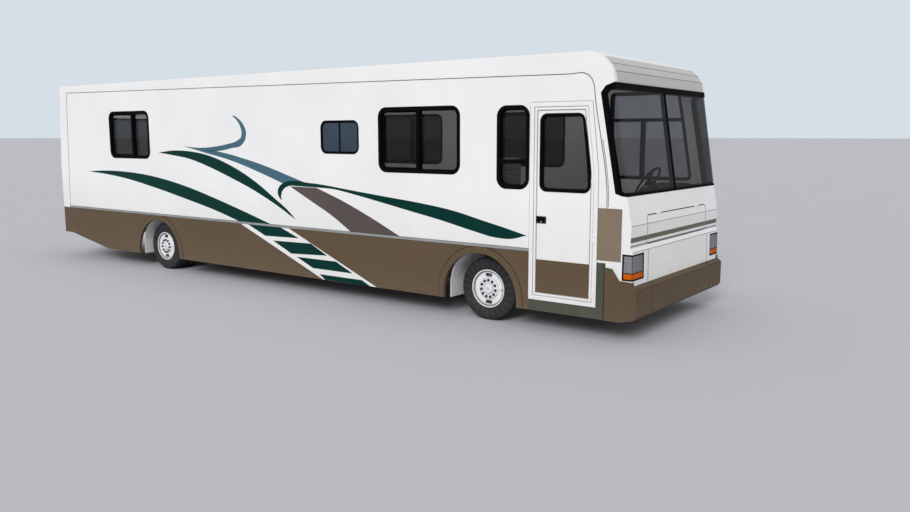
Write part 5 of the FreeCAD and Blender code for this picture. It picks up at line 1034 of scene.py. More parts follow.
# tyre section from bead to bead: side bulge then crown, as (along, radius), with three grooves in the tread
def tyreSection(s):
    half, depth = s["width"] / 2, s["radius"] - s["seat"]
    wall, shoulder = smoothLine(s["wallShares"], 22), s["shoulderShares"]
    g = s["grooveHalf"] / half
    groove = [(-3.2 * g, 0.998, 0), (-g, 1.0, 0), (-0.8 * g, 1.0, 1), (0.8 * g, 1.0, 1), (g, 1.0, 0),
              (3.2 * g, 0.998, 0)]
    tread = [(x, high, 0) for x, high in shoulder]
    tread += [(centre + x, high, deep) for centre in s["grooves"] for x, high, deep in groove]
    tread = np.array(tread + [(-x, high, 0) for x, high in shoulder[::-1]])
    section = np.concatenate([wall, tread[:, :2], wall[::-1] * [-1, 1]])
    deep = np.pad(tread[:, 2] * s["grooveDeep"], len(wall))
    return np.stack([section[:, 0] * half, s["seat"] + depth * section[:, 1] - deep], -1), section


# radius(a, v) = section radius - lug notches near the shoulder; side ribs push the wall outward by ribHigh
def tyre(s, centre, outward):
    section, shares = tyreSection(s)
    n = s["steps"]
    a = np.linspace(0, 2 * math.pi, n, endpoint=False)[:, None]
    along, height = np.abs(shares[:, 0]), shares[:, 1]
    (low, rise), (high, fade) = s["ribFrom"], s["ribTo"]
    onWall = np.clip((height - low) / rise, 0, 1) * np.clip((high - height) / fade, 0, 1)
    rib, notch = [(np.arange(n) % (n // count) == 0)[:, None] for count in (s["ribs"], s["lugs"])]
    half = s["width"] / 2
    t = np.clip(section[:, 0] + np.sign(section[:, 0]) * rib * onWall * s["ribHigh"], -half, half)
    shoulder = (along > s["lugFrom"][0]) & (height > s["lugFrom"][1])
    r = section[:, 1] - notch * shoulder * s["lugDeep"]
    verts = np.stack([r * np.sin(a), outward * t, r * np.cos(a)], -1) + np.asarray(centre)
    return verts.reshape(-1, 3), tubeFaces(n, len(section), True)


def makeTyres(s):
    # where the tyre sits across the coach, its name, the body and the node that it stands for
    places = [("frontX", "wheelY", "frontTyre", "tyreFront", "front_wheel_", "front_tyre_"),
              ("rearX", "wheelY", "rearTyreOuter", "tyreRear", "rear_wheels_", "rear_tyres_"),
              ("rearX", "innerY", "rearTyreInner", "tyreRear", "rear_wheels_", "rear_tyres_")]
    for outward, word in ((-1, "Right"), (1, "Left")):
        low = word.lower()
        for x, y, name, finishName, body, node in places:
            part = tyre(s, (s[x], outward * s[y], s["axleZ"]), outward)
            piece = addPiece(name + word, part, finishName, body + low)
            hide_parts(node + low)


makeTyres(tyreSet)
print("tyres made")


# wheel fittings

wheelSet = {
    "nuts": 11, "nutRing": 0.098, "nutWide": 0.0150, "nutLong": 0.021, "face": 0.084, "hubRise": 0.010,
    "holeRing": 0.159, "holeRadius": 0.017, "holeStretch": 0.026, "holeBead": (0.007, 0.003),
    # raised rings on the plate, round the cap and at its tip: radius, width, height and steps
    "plateRing": (0.128, 0.006, 0.0012), "capRing": (0.062, 0.006, 0.0016),
    "tipRing": (0.014, 0.004, 0.0012, 24), "capRise": 0.022,
    "barrel": (0.0852, 0.1903), "flange": (0.1030, 0.2100), "skin": (0.0004, 0.0008),
    # the grey band of painted shade inside the flange: its edges as (along, radius), and how far its back
    # face lies
    "stem": [(0.196, 0.070), (0.190, 0.090), (0.176, 0.104)], "stemRadius": 0.0042,
}


# six-sided nut along +y on a washer, its end domed, as a lathe of six steps
def nutPart(s):
    w, h = s["nutWide"], s["nutLong"]
    return lathe([(0, w * 1.25), (0.003, w * 1.25), (0.0035, w), (h * 0.75, w), (h, w * 0.72),
                  (h + 0.003, w * 0.3), (h + 0.003, 0.0005), (0, 0.0005)], 6)


# a flat raised ring round the axle, at a distance y outwards from the wheel's centre
def flatRing(centre, outward, y, radius, wide, high, steps=72):
    inner, outer, ease = radius - wide / 2, radius + wide / 2, high * 0.4
    section = [(-0.0004, inner), (high, inner + ease), (high, outer - ease), (-0.0004, outer)]
    return lathe(section, steps, np.asarray(centre) + [0, outward * y, 0], outward)


# nuts at centre + (r sin a, outward hub, r cos a), a = 2 pi k / nuts, with rings round the hand holes,
# raised lines on the rim and hub, a grey band of painted shade inside the rim's flange, and the valve stem
def wheelFittings(s, centre, outward):
    centre = np.asarray(centre)
    face = s["face"]
    hub = face + s["hubRise"]
    a = np.arange(s["nuts"]) * 2 * math.pi / s["nuts"]
    ring = np.stack([s["nutRing"] * np.sin(a), np.full(len(a), outward * (hub - 0.001)),
                     s["nutRing"] * np.cos(a)], -1)
    nuts = repeat(nutPart(s), centre + ring, np.diag([1, outward, 1]))
    r, stretch = s["holeRadius"], s["holeStretch"]
    loop = roundLoop(box2(-stretch - r, stretch + r, -r, r), r)
    holes = []
    for sign in (-1, 1):
        path = np.stack([loop[:, 0], np.full(len(loop), outward * face), sign * s["holeRing"] + loop[:, 1]])
        holes.append(sweep(centre + path.T, beadSection(*s["holeBead"]), (0, outward, 0)))
    low, high, skin = np.array(s["barrel"]), np.array(s["flange"]), np.array(s["skin"]) * [1, -1]
    rings = [(face, *s["plateRing"]), (hub - 0.0004, *s["capRing"]),
             (hub + s["capRise"] - 0.001, *s["tipRing"])]
    # painted shade: a grey band over the inside of the flange, where the dished rim falls into shade
    grey = [lathe([low, high, high + skin, low + skin], 96, centre, outward)]
    grey += [flatRing(centre, outward, *ring) for ring in rings]
    route = [centre + [x, outward * y, 0] for x, y in s["stem"]]
    stem = tube(smoothLine(route, 12), s["stemRadius"], (0, 0, 1), 10)
    return nuts, joined(*holes), joined(*grey), stem


def makeWheelFittings(s, t):
    # name, finish, slot and crease of the four parts that wheelFittings gives
    kinds = [("Nuts", "nutSteel", "steel", 25), ("HoleRings", "nutSteel", "wheel_silver", 35),
             ("RimLinesAndShade", "rimGrey", "wheel_silver", 35), ("ValveStem", "hoseBlack", "tyre", 35)]
    for outward, word in ((-1, "Right"), (1, "Left")):
        for x, body, which in ((t["frontX"], "front_wheel_", "front"), (t["rearX"], "rear_wheels_", "rear")):
            parts = wheelFittings(s, (x, outward * t["wheelY"], t["axleZ"]), outward)
            for part, (name, finishName, slot, crease) in zip(parts, kinds):
                addPiece(which + name + word, part, finishName, body + word.lower(), crease)


makeWheelFittings(wheelSet, tyreSet)
print("wheel fittings made")


# padded seats

seatSet = {
    "voxel": 0.008, "pressure": 4.0, "frames": 20, "cap": 0.014, "start": 0.009, "power": 0.34,
    "seam": 0.009, "seamDeep": 0.008, "sideShare": 0.31, "seamShares": (0.3, 0.52, 0.74),
    "piping": 0.004, "pipingCorner": 0.055, "pipingCount": 150, "pipingDrop": 0.030, "evenings": 6,
    # name, low and high corners, way the seated side faces
    "pads": [
        ("driverCushion", (4.212, 0.33, 1.2005), (4.71, 0.87, 1.330), (0, 0, 1)),
        ("driverBack", (4.09, 0.33, 1.2005), (4.208, 0.87, 1.89), (1, 0, 0)),
        ("passengerCushion", (3.572, -0.87, 1.2005), (4.07, -0.33, 1.330), (0, 0, 1)),
        ("passengerBack", (3.45, -0.87, 1.2005), (3.568, -0.33, 1.89), (1, 0, 0)),
    ],
    "pedestals": [(4.31, 0.45), (3.67, -0.75)], "pedestal": 0.30, "footZ": 0.930, "headZ": 1.1995,
    "railPast": 0.05, "railInset": 0.03, "railWide": 0.02, "railDrop": (0.045, 0.022),
}


# superellipsoid: each axis = half size * sign(w) |w|^power, w = (cos v cos u, cos v sin u, sin v)
def softBox(low, high, s):
    low, high = np.asarray(low) + s["start"], np.asarray(high) - s["start"]
    u = np.linspace(0, 2 * math.pi, 96, endpoint=False)[:, None]
    v = np.linspace(-math.pi / 2, math.pi / 2, 49)[None]
    w = np.stack([np.cos(v) * np.cos(u), np.cos(v) * np.sin(u), np.sin(v) + 0 * u], -1)
    shape = np.sign(w) * np.abs(w) ** s["power"]
    verts = (low + high) / 2 + shape * (high - low) / 2
    return verts.reshape(-1, 3), [gridFaces(96, 49, True)]


# one vector a vertex, its place with "co" or its normal with "normal"
def meshPoints(mesh, what="co"):
    flat = np.empty(len(mesh.vertices) * 3, np.float32)
    mesh.vertices.foreach_get(what, flat)
    return flat.reshape(-1, 3).astype(float)


def movePoints(mesh, points):
    mesh.vertices.foreach_set("co", points.astype(np.float32).ravel())
    mesh.update()


def bakeShape(piece):
    graph = bpy.context.evaluated_depsgraph_get()
    fresh = bpy.data.meshes.new_from_object(piece.evaluated_get(graph))
    piece.modifiers.clear()
    old, piece.data = piece.data, fresh
    bpy.data.meshes.remove(old)


# the cloth's travel is cut to the cap: p = p0 + d min(1, cap / |d|), and kept inside the seat's own box
def inflateAll(pieces, s):
    scene = bpy.context.scene
    starts = []
    for piece in pieces:
        remesh = piece.modifiers.new("remesh", "REMESH")
        remesh.mode, remesh.voxel_size = "VOXEL", s["voxel"]
        bakeShape(piece)
        starts.append(meshPoints(piece.data))
        cloth = piece.modifiers.new("cloth", "CLOTH")
        cloth.settings.quality = 5
        cloth.settings.use_pressure = True
        cloth.settings.uniform_pressure_force = s["pressure"]
        cloth.settings.effector_weights.gravity = 0
        cloth.point_cache.frame_end = s["frames"]
    for step in range(1, s["frames"] + 1):
        scene.frame_set(step)
    for piece, (name, low, high, way), start in zip(pieces, s["pads"], starts):
        bakeShape(piece)
        moved = meshPoints(piece.data) - start
        far = np.linalg.norm(moved, axis=1)[:, None]
        now = start + moved * np.minimum(1, s["cap"] / np.maximum(far, 1e-9))
        movePoints(piece.data, np.clip(now, np.asarray(low), np.asarray(high)))
    scene.frame_set(1)


# sewn channels: a point on the seated side sinks by deep exp(-(d / w)^2),
# d its distance to the nearest seam line
def sewChannels(piece, pad, s):
    low, high, way = [np.asarray(v, float) for v in pad[1:]]
    points = meshPoints(piece.data)
    facing = np.clip((meshPoints(piece.data, "normal") @ way - 0.35) / 0.3, 0, 1)
    along = 0 if way[2] else 2
    middle, reach = (low[1] + high[1]) / 2, (high[1] - low[1]) * s["sideShare"]
    across = np.abs(points[:, 1] - middle)
    lines = [np.abs(across - reach)]
    for share in s["seamShares"]:
        level = low[along] + share * (high[along] - low[along])
        lines.append(np.where(across < reach, np.abs(points[:, along] - level), 1.0))
    sink = s["seamDeep"] * np.exp(-(np.min(lines, axis=0) / s["seam"]) ** 2) * facing
    points = points - sink[:, None] * way
    movePoints(piece.data, points)
    return points


# piping: a loop round the pad's seated edge, each point drawn to the nearest point of the pad,
# then evened out
def pipingLoop(points, pad, s):
    low, high, way = [np.asarray(v, float) for v in pad[1:]]
    first, second, level = (0, 1, 2) if way[2] else (1, 2, 0)
    corners = box2(low[first], high[first], low[second], high[second])
    loop = roundLoop(corners, s["pipingCorner"], 10)
    n = s["pipingCount"]
    loop = straightLine(np.concatenate([loop, loop[:1]]), n + 1)[:n]
    path = np.empty((n, 3))
    path[:, first], path[:, second] = loop[:, 0], loop[:, 1]
    path[:, level] = high[level] - s["pipingDrop"]
    nearest = points[np.argmin(((path[:, None] - points[None, ::2]) ** 2).sum(-1), axis=1) * 2]
    for _ in range(s["evenings"]):
        nearest = nearest / 2 + (np.roll(nearest, 1, 0) + np.roll(nearest, -1, 0)) / 4
    return tube(nearest, s["piping"], tuple(way), 8, True)


def makeSeats(s):
    pieces = [addPiece(name, softBox(low, high, s), "seatCloth", crease=180, merge=True)
              for name, low, high, way in s["pads"]]
    inflateAll(pieces, s)
    for piece, pad in zip(pieces, s["pads"]):
        points = sewChannels(piece, pad, s)
        piece.data.shade_smooth()
        piece.data.materials.clear()
        piece.data.materials.append(finishes["seatCloth"])
        smooth = piece.modifiers.new("smooth", "SUBSURF")
        smooth.levels = smooth.render_levels = 1
        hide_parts("cab_seats")
        addPiece(pad[0] + "Piping", pipingLoop(points, pad, s), "pipingDark")
    stands, rails = [], []
    w, past, wide = s["pedestal"], s["railPast"], s["railWide"]
    low, high = [s["headZ"] - drop for drop in s["railDrop"]]
    for x, y in s["pedestals"]:
        stands.append(brick(x, x + w, y, y + w, s["footZ"], s["headZ"], 0.02, "z", 6))
        rails += [brick(x - past, x + w + past, y + side, y + side + wide, low, high, 0.003, "x")
                  for side in (s["railInset"], w - s["railInset"] - wide)]
    stand = addPiece("seatPedestals", joined(*stands), "panelBlack")
    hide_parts("cab_seats")
    addPiece("seatRails", joined(*rails), "brightSteel")


makeSeats(seatSet)
print("seats made")


# dashboard, switches and gauges

dashSet = {
    "hoodX": 5.0255, "centreY": 0.42, "gaugeZ": 1.512, "panelHalf": 0.17, "panelZ": (1.455, 1.568),
    # the six gauges: across and up from the middle, radius
    "gauges": [(-0.055, 0, 0.040), (0.055, 0, 0.040), (-0.125, 0.024, 0.019), (-0.125, -0.024, 0.019),
               (0.125, 0.024, 0.019), (0.125, -0.024, 0.019)], "handTurn": (0.7, 9),
    "faceX": 4.8895, "vents": (1.02, 0.10, -0.45), "ventHalf": 0.075, "ventZ": (1.325, 1.395),
    "ventBar": (0.008, 0.005), "slatDeep": 0.003, "keyDeep": 0.006, "lockerBead": (0.005, 0.002),
    "slatZ": np.linspace(1.337, 1.383, 5), "slatHalf": (0.070, 0.0022),
    "keys": 0.24 + 0.048 * np.arange(6), "keyHalf": 0.016, "keyZ": (1.235, 1.275),
    "locker": box2(-0.56, -0.20, 1.02, 1.24),
}


# ring, face and hand of one gauge that looks backwards, the hand turned by an angle from upright
def gauge(at, r, angle):
    ring = lathe([(0, r), (0.004, r), (0.005, r * 0.95), (0.001, r * 0.9), (0, r * 0.9)], 40, outward=-1)
    face = lathe([(0, r * 0.9), (0.0012, r * 0.9), (0.0012, 0.0003), (0, 0.0003)], 40, outward=-1)
    hand = brick(-0.0022, -0.0014, -0.0012, 0.0012, 0.0, r * 0.78, 0.0003, "z")
    c, n = math.cos(angle), math.sin(angle)
    return turned(ring, toX, at), turned(face, toX, at), turned(hand, [[1, 0, 0], [0, c, -n], [0, n, c]], at)


def makeDash(s):
    hood, middle, face, slot = s["hoodX"], s["centreY"], s["faceX"], "dash_brown"
    y0, y1 = middle - s["panelHalf"], middle + s["panelHalf"]
    panel = brick(hood, hood + 0.006, y0, y1, *s["panelZ"], 0.003, "y")
    addPiece("gaugePanel", panel, "panelBlack")
    first, gain = s["handTurn"]
    rings, faces, hands = zip(*[gauge((hood, middle + y, s["gaugeZ"] + z), r, first + gain * y)
                                for y, z, r in s["gauges"]])
    addPiece("gaugeRings", joined(*rings), "brightSteel")
    addPiece("gaugeFaces", joined(*faces), "gaugeFace")
    addPiece("gaugeHands", joined(*hands), "turnLens")
    # vents with slats, a switch row, and the edge of a locker lid on the dashboard's rear face
    half, (long, thin), key = s["ventHalf"], s["slatHalf"], s["keyHalf"]
    outlines = [roundLoop(box2(y - half, y + half, *s["ventZ"]), 0.012, 6) for y in s["vents"]]
    frames = [sweep(atX(face, outline), barSection(*s["ventBar"]), (-1, 0, 0)) for outline in outlines]
    slats = [brick(face - s["slatDeep"], face + 0.001, y - long, y + long, z - thin, z + thin, 0.0008, "y")
             for y in s["vents"] for z in s["slatZ"]]
    keys = [brick(face - s["keyDeep"], face + 0.001, y - key, y + key, *s["keyZ"], 0.003, "y")
            for y in s["keys"]]
    addPiece("ventFrames", joined(*frames), "panelBlack")
    addPiece("ventSlats", joined(*slats), "trimBlack")
    addPiece("switchRow", joined(*keys), "panelBlack")
    edge = sweep(atX(face, roundLoop(s["locker"], 0.02, 6)), beadSection(*s["lockerBead"]), (-1, 0, 0))
    addPiece("lockerEdge", edge, "panelBlack")


makeDash(dashSet)
print("dashboard details made")


# rear: louvres, lamps, blank plate

rearSet = {
    "faceX": -5.5, "first": 0.990, "pitch": 0.052, "count": 6, "half": 0.478, "web": 0.022, "slot": 0.020,
    "hood": np.array([(-0.006, -0.0004), (-0.006, 0.0085), (-0.0045, 0.0095), (-0.002, 0.009),
                      (0.004, 0.003), (0.008, -0.0004)]), "hoodUp": 0.005,
    "bladeX": -5.497, "bladeDeep": 0.026, "bladeDrop": 0.009, "bladeRise": 0.018,
    "latchY": (-0.55, 0.55), "latchZ": 0.948, "keyHalf": (0.0035, 0.011), "keyDeep": (0.0095, 0.004),
    "latch": [(0, 0.016), (0.003, 0.016), (0.005, 0.013), (0.005, 0.0003), (0, 0.0003)],
    "plate": (0.305, 0.152), "plateZ": 0.735, "plateThick": 0.004, "plateRound": 0.018,
    "rimBead": (0.005, 0.0018), "screwY": (-0.105, 0.105), "screwInset": 0.014, "screwSunk": 0.0005,
    "lampHalf": 0.07, "lampDeep": 0.010, "lampUp": (0.008, 0.026),
    "lensFace": -5.4948, "lensY": 1.052, "lensRings": [(1.015, 0.030), (1.12, 0.042)],
    "creaseX": -5.4998, "creaseY": 1.262,
}


# louvres: a hooded lip over each slot, and behind it a blade that slopes up inwards,
# point(u, v) = (bladeX + deep v, y0 + (y1 - y0) u, z - drop + rise v)
def makeLouvres(s):
    lips, blades = [], []
    u, v = np.meshgrid(np.linspace(0, 1, 12), np.linspace(0, 1, 3), indexing="ij")
    for z in s["first"] + s["pitch"] * np.arange(s["count"]):
        lipZ = z + s["slot"] / 2 + s["hoodUp"]
        for sign in (-1, 1):
            path = acrossLine(s["faceX"], sign * s["web"], sign * s["half"], lipZ, 12)
            hood = s["hood"] if sign > 0 else (s["hood"] * [-1, 1])[::-1]
            lips.append(sweep(path, hood, (-1, 0, 0), False))
            y0, y1 = sorted((sign * s["web"], sign * s["half"]))
            grid = np.stack([s["bladeX"] + s["bladeDeep"] * v, y0 + (y1 - y0) * u,
                             z - s["bladeDrop"] + s["bladeRise"] * v], -1)
            blades.append(plate(grid, (0.0009, 0, -0.0012)))
    addPiece("louvreLips", joined(*lips), "bodyWhite", "engine_lid_body", crease=50)
    addPiece("louvreBlades", joined(*blades), "seamGrey", "engine_lid_body")


def makeRear(s):
    face = s["faceX"]
    # turn latches at the lid's foot
    latch = lathe(s["latch"], 24, outward=-1)
    latches = [turned(latch, toX, (face, y, s["latchZ"])) for y in s["latchY"]]
    (wide, high), (outer, inner) = s["keyHalf"], s["keyDeep"]
    z0, z1 = s["latchZ"] - high, s["latchZ"] + high
    keys = [brick(face - outer, face - inner, y - wide, y + wide, z0, z1, 0.0015, "z") for y in s["latchY"]]
    addPiece("engineLidLatches", joined(*latches, *keys), "brightSteel", "engine_lid_body")
    # blank plate with a raised rim and four screws, under a small lamp hood
    w, h = s["plate"]
    z0, z1 = s["plateZ"] - h / 2, s["plateZ"] + h / 2
    front = face - s["plateThick"]
    board = brick(front, face + 0.0005, -w / 2, w / 2, z0, z1, 0.002, "x")
    outline = roundLoop(box2(-w / 2, w / 2, z0, z1), s["plateRound"])
    rim = sweep(atX(front, outline), beadSection(*s["rimBead"]), (-1, 0, 0))
    addPiece("blankPlate", joined(board, rim), "plateBlank")
    levels = z0 + s["screwInset"], z1 - s["screwInset"]
    spots = [(front - s["screwSunk"], y, z) for y in s["screwY"] for z in levels]
    backwards = np.array(toX) * [[-1], [1], [1]]
    screws = repeat(boltHead(0.005, 0.003), spots, backwards)
    addPiece("blankPlateScrews", screws, "brightSteel")
    half, (low, high) = s["lampHalf"], s["lampUp"]
    hood = brick(face - s["lampDeep"], face + 0.001, -half, half, z1 + low, z1 + high, 0.004, "y")
    addPiece("plateLampHood", hood, "trimBlack")
    rings = []
    for side in (-1, 1):
        for z, r in s["lensRings"]:
            section = [(0, r - 0.003), (0.0022, r - 0.002), (0.0022, r + 0.002), (0, r + 0.003)]
            ring = lathe(section, 36, outward=-1)
            rings.append(turned(ring, toX, (s["lensFace"], side * s["lensY"], z)))
    addPiece("tailLensRings", joined(*rings), "tailLens")
    crease = acrossLine(s["creaseX"], -s["creaseY"], s["creaseY"], rearCreaseZ)
    line = sweep(crease, barSection(0.004, 0.0008), (-1, 0, 0.03), False)
    addPiece("rearCrease", line, "seamGrey")


makeLouvres(rearSet)
makeRear(rearSet)
print("rear details made")


# roof

roofSet = {
    "topZ": 2.978, "edge": 1.243, "seams": (-5.16, -3.9, -1.43, 1.43, 4.69),
    "seamBead": (0.030, 0.003), "edgeBead": (0.022, 0.004),
    "vents": (3.08, -0.22, -2.64), "flangeHalf": 0.272, "flangeRound": 0.05, "flangeBar": (0.040, 0.004),
    "screw": (0.0045, 0.003), "screwUp": 0.004,
}


def makeRoof(s):
    top, edge, seams = s["topZ"], s["edge"], s["seams"]
    seals = [sweep(acrossLine(x, -edge, edge, top), beadSection(*s["seamBead"]), (0, 0, 1), False)
             for x in seams]
    along = np.linspace(seams[0], seams[-1], 60)
    for y in (-edge, edge):
        path = np.column_stack([along, np.full(60, y), np.full(60, top)])
        seals.append(sweep(path, beadSection(*s["edgeBead"]), (0, 0, 1), False))
    addPiece("roofSeals", joined(*seals), "mouldingGrey")
    flanges, places = [], []
    h, up = s["flangeHalf"], top + s["screwUp"]
    t = np.linspace(-h, h, 6)
    for x in s["vents"]:
        loop = roundLoop(box2(x - h, x + h, -h, h), s["flangeRound"])
        path = np.column_stack([loop, np.full(len(loop), top)])
        flanges.append(sweep(path, barSection(*s["flangeBar"]), (0, 0, 1)))
        places += [(x + a, b, up) for a in t for b in (-h, h)]
        places += [(x + b, a, up) for a in t[1:-1] for b in (-h, h)]
    addPiece("ventFlanges", joined(*flanges), "mouldingGrey")
    screw = turned(boltHead(*s["screw"]), toZ)
    addPiece("ventScrews", repeat(screw, places), "brightSteel")


makeRoof(roofSet)
print("roof details made")


# under the floor

underSet = {
    "railY": (0.38, 0.44), "axles": (3.615, -2.645), "crossX": (-4.0, -2.26, -0.977, 0.305, 1.588, 2.87),
    "boltX": (-0.075, 0.075), "boltClear": 0.007, "boltZ": (0.400, 0.50, 0.536), "boltRadius": 0.006,
    "nut": (0.010, -0.012), "nutUp": 0.006, "head": (0.011, 0.008),
    # each damper's foot and head: x from the axle, z
    "damperY": 0.475, "damper": [(0.105, 0.395), (0.155, 0.66)],
    "headX": (-0.022, 0.022), "headZ": (0.63, 0.71),
    "tankX": (1.80, 2.74), "tankLoop": box2(-0.3515, 0.3515, 0.2985, 0.6015), "tankRound": 0.061,
    "tankZ": 0.45, "tankStrap": (0.036, 0.0022),
    # straps round the air tanks and the muffler: x, y, z, radius, width, thickness
    "roundStraps": [(-1.10, -0.2, 0.48, 0.1055, 0.026, 0.002), (-0.77, -0.2, 0.48, 0.1055, 0.026, 0.002),
                    (-1.10, 0.2, 0.48, 0.1055, 0.026, 0.002), (-0.77, 0.2, 0.48, 0.1055, 0.026, 0.002),
                    (-4.97, 0.75, 0.488, 0.1105, 0.022, 0.0022), (-4.43, 0.75, 0.488, 0.1105, 0.022, 0.0022)],
    "pipeClear": 0.008, "pipeRadius": 0.0045,
    "pipe": [(3.30, 0.66), (2.2, 0.672), (0.0, 0.675), (-2.2, 0.672), (-2.60, 0.60)],
    "cap": [(0, 0.048), (0.012, 0.05), (0.020, 0.046), (0.020, 0.0004), (0, 0.0004)],
    "capPlace": (1.66, -0.24, 0.5995),
}


# a flat bar carried round a loop, its face pointing away from the loop's middle
def strap(loop, middle, wide, thick):
    out = unit((loop - np.asarray(middle)) * [0, 1, 1])
    return sweep(loop, barSection(wide, thick, 0.1), out)


# a strap round a tank that lies along x: point(a) = (x, y + r sin a, z + r cos a)
def roundStrap(x, y, z, r, wide, thick):
    a = np.linspace(0, 2 * math.pi, 48, endpoint=False)
    loop = atX(x, np.column_stack([y + r * np.sin(a), z + r * np.cos(a)]))
    return strap(loop, (x, y, z), wide, thick)


# damper: a thin tube to half its length, a wider one above, and an eye across each end
def shock(low, high):
    low, high = np.asarray(low), np.asarray(high)
    mid = (low + high) / 2
    eye = lathe([(-0.025, 0.018), (0.025, 0.018), (0.025, 0.0004), (-0.025, 0.0004)], 20)
    return joined(tube([low, mid], 0.024, (0, 1, 0), 20), tube([mid, high], 0.031, (0, 1, 0), 20),
                  repeat(eye, [low, high]))


def makeSprings(s):
    inner, outer = s["railY"]
    low, knee, high = s["boltZ"]
    bolts, nutPlaces = [], []
    for x in s["axles"]:
        for sign in (-1, 1):
            a, b = sign * (inner - s["boltClear"]), sign * (outer + s["boltClear"])
            arch = straightLine([(a, low), (a, knee), (a, high), (b, high), (b, knee), (b, low)], 40)
            for dx in s["boltX"]:
                bolts.append(tube(atX(x + dx, arch), s["boltRadius"], (1, 0, 0), 8))
                nutPlaces += [(x + dx, a, low + s["nutUp"]), (x + dx, b, low + s["nutUp"])]
    addPiece("springBolts", joined(*bolts), "nutSteel")
    nut = turned(boltHead(*s["nut"]), toZ)
    addPiece("springNuts", repeat(nut, nutPlaces), "nutSteel", crease=25)
    foot, head = s["damper"]
    dampers = [shock((x + foot[0], y, foot[1]), (x + head[0], y, head[1]))
               for x in s["axles"] for y in (-s["damperY"], s["damperY"])]
    addPiece("dampers", joined(*dampers), "nutSteel")


def makeUnder(s):
    inner, outer = s["railY"]
    # bolt heads where the cross-members meet the rails
    spots = [(x + dx, sign * outer, z) for x in s["crossX"] for dx in s["headX"] for z in s["headZ"]
             for sign in (-1, 1)]
    turns = [np.diag([1, np.sign(y), 1]) for x, y, z in spots]
    heads = repeat(boltHead(*s["head"]), spots, turns)
    addPiece("railBolts", heads, "nutSteel", crease=25)
    # straps round the fuel tank, the two air tanks and the muffler
    loop = roundLoop(s["tankLoop"], s["tankRound"], 10)
    straps = [strap(atX(x, loop), (x, 0, s["tankZ"]), *s["tankStrap"]) for x in s["tankX"]]
    straps += [roundStrap(*sizes) for sizes in s["roundStraps"]]
    addPiece("tankStraps", joined(*straps), "brightSteel")
    # brake pipes along the rails
    y = inner - s["pipeClear"]
    routes = [smoothLine([(x, sign * y, z) for x, z in s["pipe"]], 90) for sign in (-1, 1)]
    pipes = [tube(route, s["pipeRadius"], (0, 1, 0), 8) for route in routes]
    addPiece("brakePipes", joined(*pipes), "exhaustSteel")
    addPiece("tankCap", turned(lathe(s["cap"], 36), toZ, s["capPlace"]), "panelBlack")


makeSprings(underSet)
makeUnder(underSet)
print("underside details made")


# engine dressing

engineSet = {
    "topZ": 1.13, "covers": (0.08, 0.29), "coverX": (-5.08, -4.28), "coverHigh": 0.075,
    "coverRound": 0.018, "ribs": 7, "ribEnd": 0.06, "ribInset": 0.03, "ribHigh": 0.004,
    "bolts": 6, "boltEnd": 0.03, "boltOut": 0.011, "bolt": (0.008, 0.010),
    # intake runners as (across, up), and the plenum's half width and levels
    "runner": [(0.075, 0.02), (0.05, 0.05), (0.0, 0.06)], "plenum": (0.042, 0.045, 0.105),
    "runners": 4, "runnerEnd": 0.1, "runnerRadius": 0.018, "plenumEnd": 0.04, "plenumRound": 0.016,
    "filler": (-4.98, 0.185),
    "pulleys": [(0.0, 0.62, 0.085), (0.235, 0.985, 0.042), (0.0, 0.90, 0.060), (-0.235, 0.92, 0.05)],
    "pulleyX": -5.199, "beltX": -5.2135, "beltRound": 0.055, "beltBar": (0.011, 0.005),
    "airRadius": 0.036, "coolantRadius": 0.019,
    "belt": [(-0.118, 0.545), (0.118, 0.545), (0.30, 1.045), (-0.30, 0.985)],
    "cleaner": [(-0.17, 0.0004), (-0.17, 0.085), (-0.16, 0.095), (0.11, 0.095), (0.12, 0.088), (0.17, 0.088),
                (0.17, 0.0004)], "cleanerPlace": (-4.62, 0.0, 1.325),
    "airHose": [(-4.80, 0.0, 1.325), (-4.90, 0.0, 1.322), (-4.98, 0.0, 1.30), (-5.03, 0.0, 1.25),
                (-5.035, 0.0, 1.215)],
    "coolantHose": [(-5.20, 0.13, 1.05), (-5.26, 0.14, 1.06), (-5.30, 0.20, 1.10), (-5.31, 0.30, 1.14),
                    (-5.31, 0.42, 1.15)],
    "bottle": (-5.40, -5.22, 0.42, 0.57, 1.03, 1.20), "bottleCap": (-5.31, 0.495, 1.20),
}


# a pulley with a shallow groove, a recessed web and a hub, as a lathe
def pulley(r):
    return lathe([(0, r * 0.5), (0, r), (0.006, r), (0.009, r * 0.93), (0.020, r * 0.93), (0.023, r),
                  (0.030, r), (0.030, r * 0.7), (0.018, r * 0.62), (0.018, r * 0.3), (0.036, r * 0.26),
                  (0.036, 0.0004), (0, 0.0004)], 40, outward=-1)


